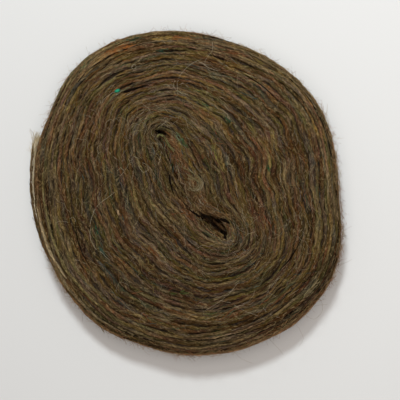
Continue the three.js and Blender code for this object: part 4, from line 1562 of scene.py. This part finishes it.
def endFluff(batch, line, diameter, plan, rng):  # crimped fibres along the strand
    count, rings = plan["count"], plan["rings"]
    index = rng.integers(0, len(line) - 2, count)
    ahead, along = bearingAt(line, index)
    side = np.stack([-np.sin(along), np.cos(along)], axis=-1)
    off = np.clip(rng.normal(0, 0.45, count), -1, 1)
    length = rng.uniform(*plan["length"], count)
    start = line[index, :2] + side * (off * plan["reach"])[:, None] - ahead[:, :2] * 0.5 * length[:, None]
    heading = along + rng.normal(0, plan["fan"], count)
    centre = curlPaths(rng, start, heading, length, rings, *bendsOf(rng, count, plan))
    dome = diameter * 0.5 * np.sqrt(np.clip(1 - off ** 2, 0.05, 1))
    height = line[index, 2] + dome + rng.uniform(*plan["lift"], count)
    centre[..., 2] = np.maximum(height, plan["low"])[:, None]
    thick = rng.uniform(*plan["thick"], count)[:, None] * fibreTaper(rings, 1.2)
    color = pickColors(rng, "fibres", count) * rng.uniform(*plan["tone"], count)[:, None]
    batch.addFibres(centre, thick, color)


def frayTip(batch, line, diameter, plan, rng):  # fibres that have come loose at the strand's tip
    count, rings = plan["count"], plan["rings"]
    start = line[-1 - rng.integers(0, plan["back"], count)] + rng.normal(0, diameter * 0.18, (count, 3))
    ahead = line[-1] - line[-4]
    heading = math.atan2(ahead[1], ahead[0]) + rng.normal(0, plan["fan"], count)
    length = rng.uniform(*plan["lengths"], count) * plan["length"]
    centre = curlPaths(rng, start, heading, length, rings, *bendsOf(rng, count, plan))
    rise = rng.uniform(*plan["lift"], count)[:, None] * plan["rise"]
    lift = rise * thinEnds(np.linspace(0, 1, rings), 0)
    centre[..., 2] = np.maximum(start[:, 2:] + lift, plan["low"])
    thick = rng.uniform(*plan["thick"], count)[:, None] * np.linspace(1, 0.7, rings)[None]
    batch.addFibres(centre, thick, anyOf(rng, plan["colors"], count), 1)


def curlTip(batch, plan, rng):  # the round curl in which the inner end stops
    count, rings = plan["count"], plan["rings"]
    radius = rng.uniform(*plan["radius"], count)[:, None]
    first = rng.normal(math.radians(plan["first"][0]), plan["first"][1], count)[:, None]
    angle = first + np.linspace(0, 1, rings)[None] * rng.uniform(*plan["round"], count)[:, None]
    radius = radius + plan["oval"] * np.sin(angle * 2 + rng.uniform(0, 6.3, count)[:, None])
    at = np.array(plan["at"]) - plateMiddle[:2] + rng.normal(0, plan["scatter"], (count, 2))
    centre = np.stack([at[:, :1] + radius * np.cos(angle), at[:, 1:] + radius * np.sin(angle),
                       0 * angle], axis=-1)
    height = np.maximum(smoothAlong(heightAt(centre), 3), plan["low"])
    centre[..., 2] = height + rng.uniform(0, plan["lift"], count)[:, None]
    thick = rng.uniform(*plan["thick"], count)[:, None] * np.ones((1, rings))
    batch.addFibres(centre, thick, anyOf(rng, plan["colors"], count), 1)


def paleFluffAndBounceLight(batch, line, plan, rng):  # pale fibres on the table at the strand's inner side, partly real fluff and partly painted bounced light
    count, rings = plan["count"], plan["rings"]
    index = rng.integers(int(len(line) * plan["from"]), len(line) - 1, count)
    along = bearingAt(line, index)[1]
    side = np.stack([np.sin(along), -np.cos(along)], axis=-1)
    start = line[index, :2] + side * rng.uniform(*plan["away"], count)[:, None]
    centre = curlPaths(rng, start, along + rng.normal(0, plan["fan"], count),
                       rng.uniform(*plan["length"], count), rings, rng.normal(*plan["bend"], count),
                       rng.uniform(*plan["sway"], count), rng.uniform(*plan["swayWave"], count))
    centre[..., 2] = rng.uniform(*plan["heights"], count)[:, None]
    thick = rng.uniform(*plan["thick"], count)[:, None] * np.ones((1, rings))
    batch.addFibres(centre, thick, anyOf(rng, plan["colors"], count), 1)


innerPiece, innerLine, innerLength = twistLocks("innerEnd", innerEnd, rng)
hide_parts("inner_end")
innerWisps = TubeBatch()
endFluff(innerWisps, innerLine, innerEnd["diameter"], innerEnd["fluff"], rng)
frayTip(innerWisps, innerLine, innerEnd["diameter"], innerEnd["fray"], rng)
curlTip(innerWisps, innerEnd["curl"], rng)
innerTip = innerWisps.toObject("innerEndWisps", fibre, None, "loose_wool")

outerPiece, outerLine, outerLength = twistLocks("outerEnd", outerEnd, rng)
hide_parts("outer_end")
outerWisps = TubeBatch()
endFluff(outerWisps, outerLine, outerEnd["diameter"], outerEnd["fluff"], rng)
paleFluffAndBounceLight(outerWisps, outerLine, outerEnd["pale"], rng)
frayTip(outerWisps, outerLine, outerEnd["diameter"], outerEnd["fray"], rng)
outerTip = outerWisps.toObject("outerEndWisps", fibre, None, "loose_wool")

print("loose ends laid")

# The table and the light.

stagePlan = {
    "tableSize": 4000,
    "tableColor": "#e6e5e4",
    "tableRoughness": 0.9,
    "tableSpecular": 0.2,
    "toneX": (0.955, 1.068),  # painted light: the table's colour scaled towards the left and right edges of the picture, as the light falls off
    "toneY": (0.955, 0.993),  # painted light: the same towards its lower and upper edges
    "lightFalloffReach": 140,  # from the middle to those edges
    "keyPower": 9.4,
    "keyColor": "#f3fcff",
    "keyDistance": 1.3,
    "keyWidth": 0.18,
    "keyElevation": 60,
    "keyBearing": 99,
    "ceilingPower": 21.5,
    "ceilingHeight": 2.2,
    "ceilingWidth": 1.8,
    "world": 0.20,
    "worldColor": "#fff8f2",
}


def paleBoard(plan):
    # A matt white board with painted light: its colour is scaled slowly darker to the left and below, where
    # the light fell off.
    material, tree, shader = newMaterial("matt white board", plan["tableRoughness"], plan["tableSpecular"])
    place = addNode(tree, "ShaderNodeTexCoord")
    axes = addNode(tree, "ShaderNodeSeparateXYZ", links={"Vector": place.outputs["Object"]})
    edge = plan["lightFalloffReach"] * metre
    toneX, toneY = [mapRange(tree, axes.outputs[axis], (-edge, edge), plan["tone" + axis]).outputs[0]
                    for axis in ("X", "Y")]
    tone = addNode(tree, "ShaderNodeMath", {"operation": "MULTIPLY"}, {0: toneX, 1: toneY})
    color = addNode(tree, "ShaderNodeVectorMath",
                    {"operation": "SCALE", 0: linearColor(plan["tableColor"])[:3]},
                    {"Scale": tone.outputs[0]})
    tree.links.new(color.outputs[0], shader.inputs["Base Color"])
    return material


def areaLight(name, place, size, power, code):
    bpy.ops.object.light_add(type="AREA", location=place)
    light = bpy.context.object
    light.name = name
    light.data.size = size
    light.data.energy = power
    light.data.color = linearColor(code)[:3]
    return light


def makeStage(plan):
    bpy.ops.object.select_all(action="DESELECT")
    bpy.ops.mesh.primitive_plane_add(size=plan["tableSize"] * metre, location=(0, 0, 0))
    table = bpy.context.object
    table.name = "table"
    table.data.materials.append(paleBoard(plan))
    elevation, bearing = math.radians(plan["keyElevation"]), math.radians(plan["keyBearing"])
    far = plan["keyDistance"]
    place = (far * math.cos(elevation) * math.cos(bearing), far * math.cos(elevation) * math.sin(bearing),
             far * math.sin(elevation))
    lamp = areaLight("softKey", place, plan["keyWidth"], plan["keyPower"], plan["keyColor"])
    lamp.data.shape = "DISK"
    lamp.rotation_euler = (math.pi / 2 - elevation, 0, bearing + math.pi / 2)
    areaLight("paleCeiling", (0, 0, plan["ceilingHeight"]), plan["ceilingWidth"], plan["ceilingPower"],
              plan["worldColor"])
    world = bpy.context.scene.world or bpy.data.worlds.new("studio")
    bpy.context.scene.world = world
    world.use_nodes = True
    background = world.node_tree.nodes.get("Background")
    background.inputs[0].default_value = linearColor(plan["worldColor"])
    background.inputs[1].default_value = plan["world"]
    bpy.context.scene.view_settings.view_transform = "Standard"


makeStage(stagePlan)
print("table and light set")

for name, count in triangleCounts.items():
    print(name, "has", count, "triangles")
print("in all", sum(triangleCounts.values()) + len(core.data.loop_triangles), "triangles")

bpy.context.view_layer.update()
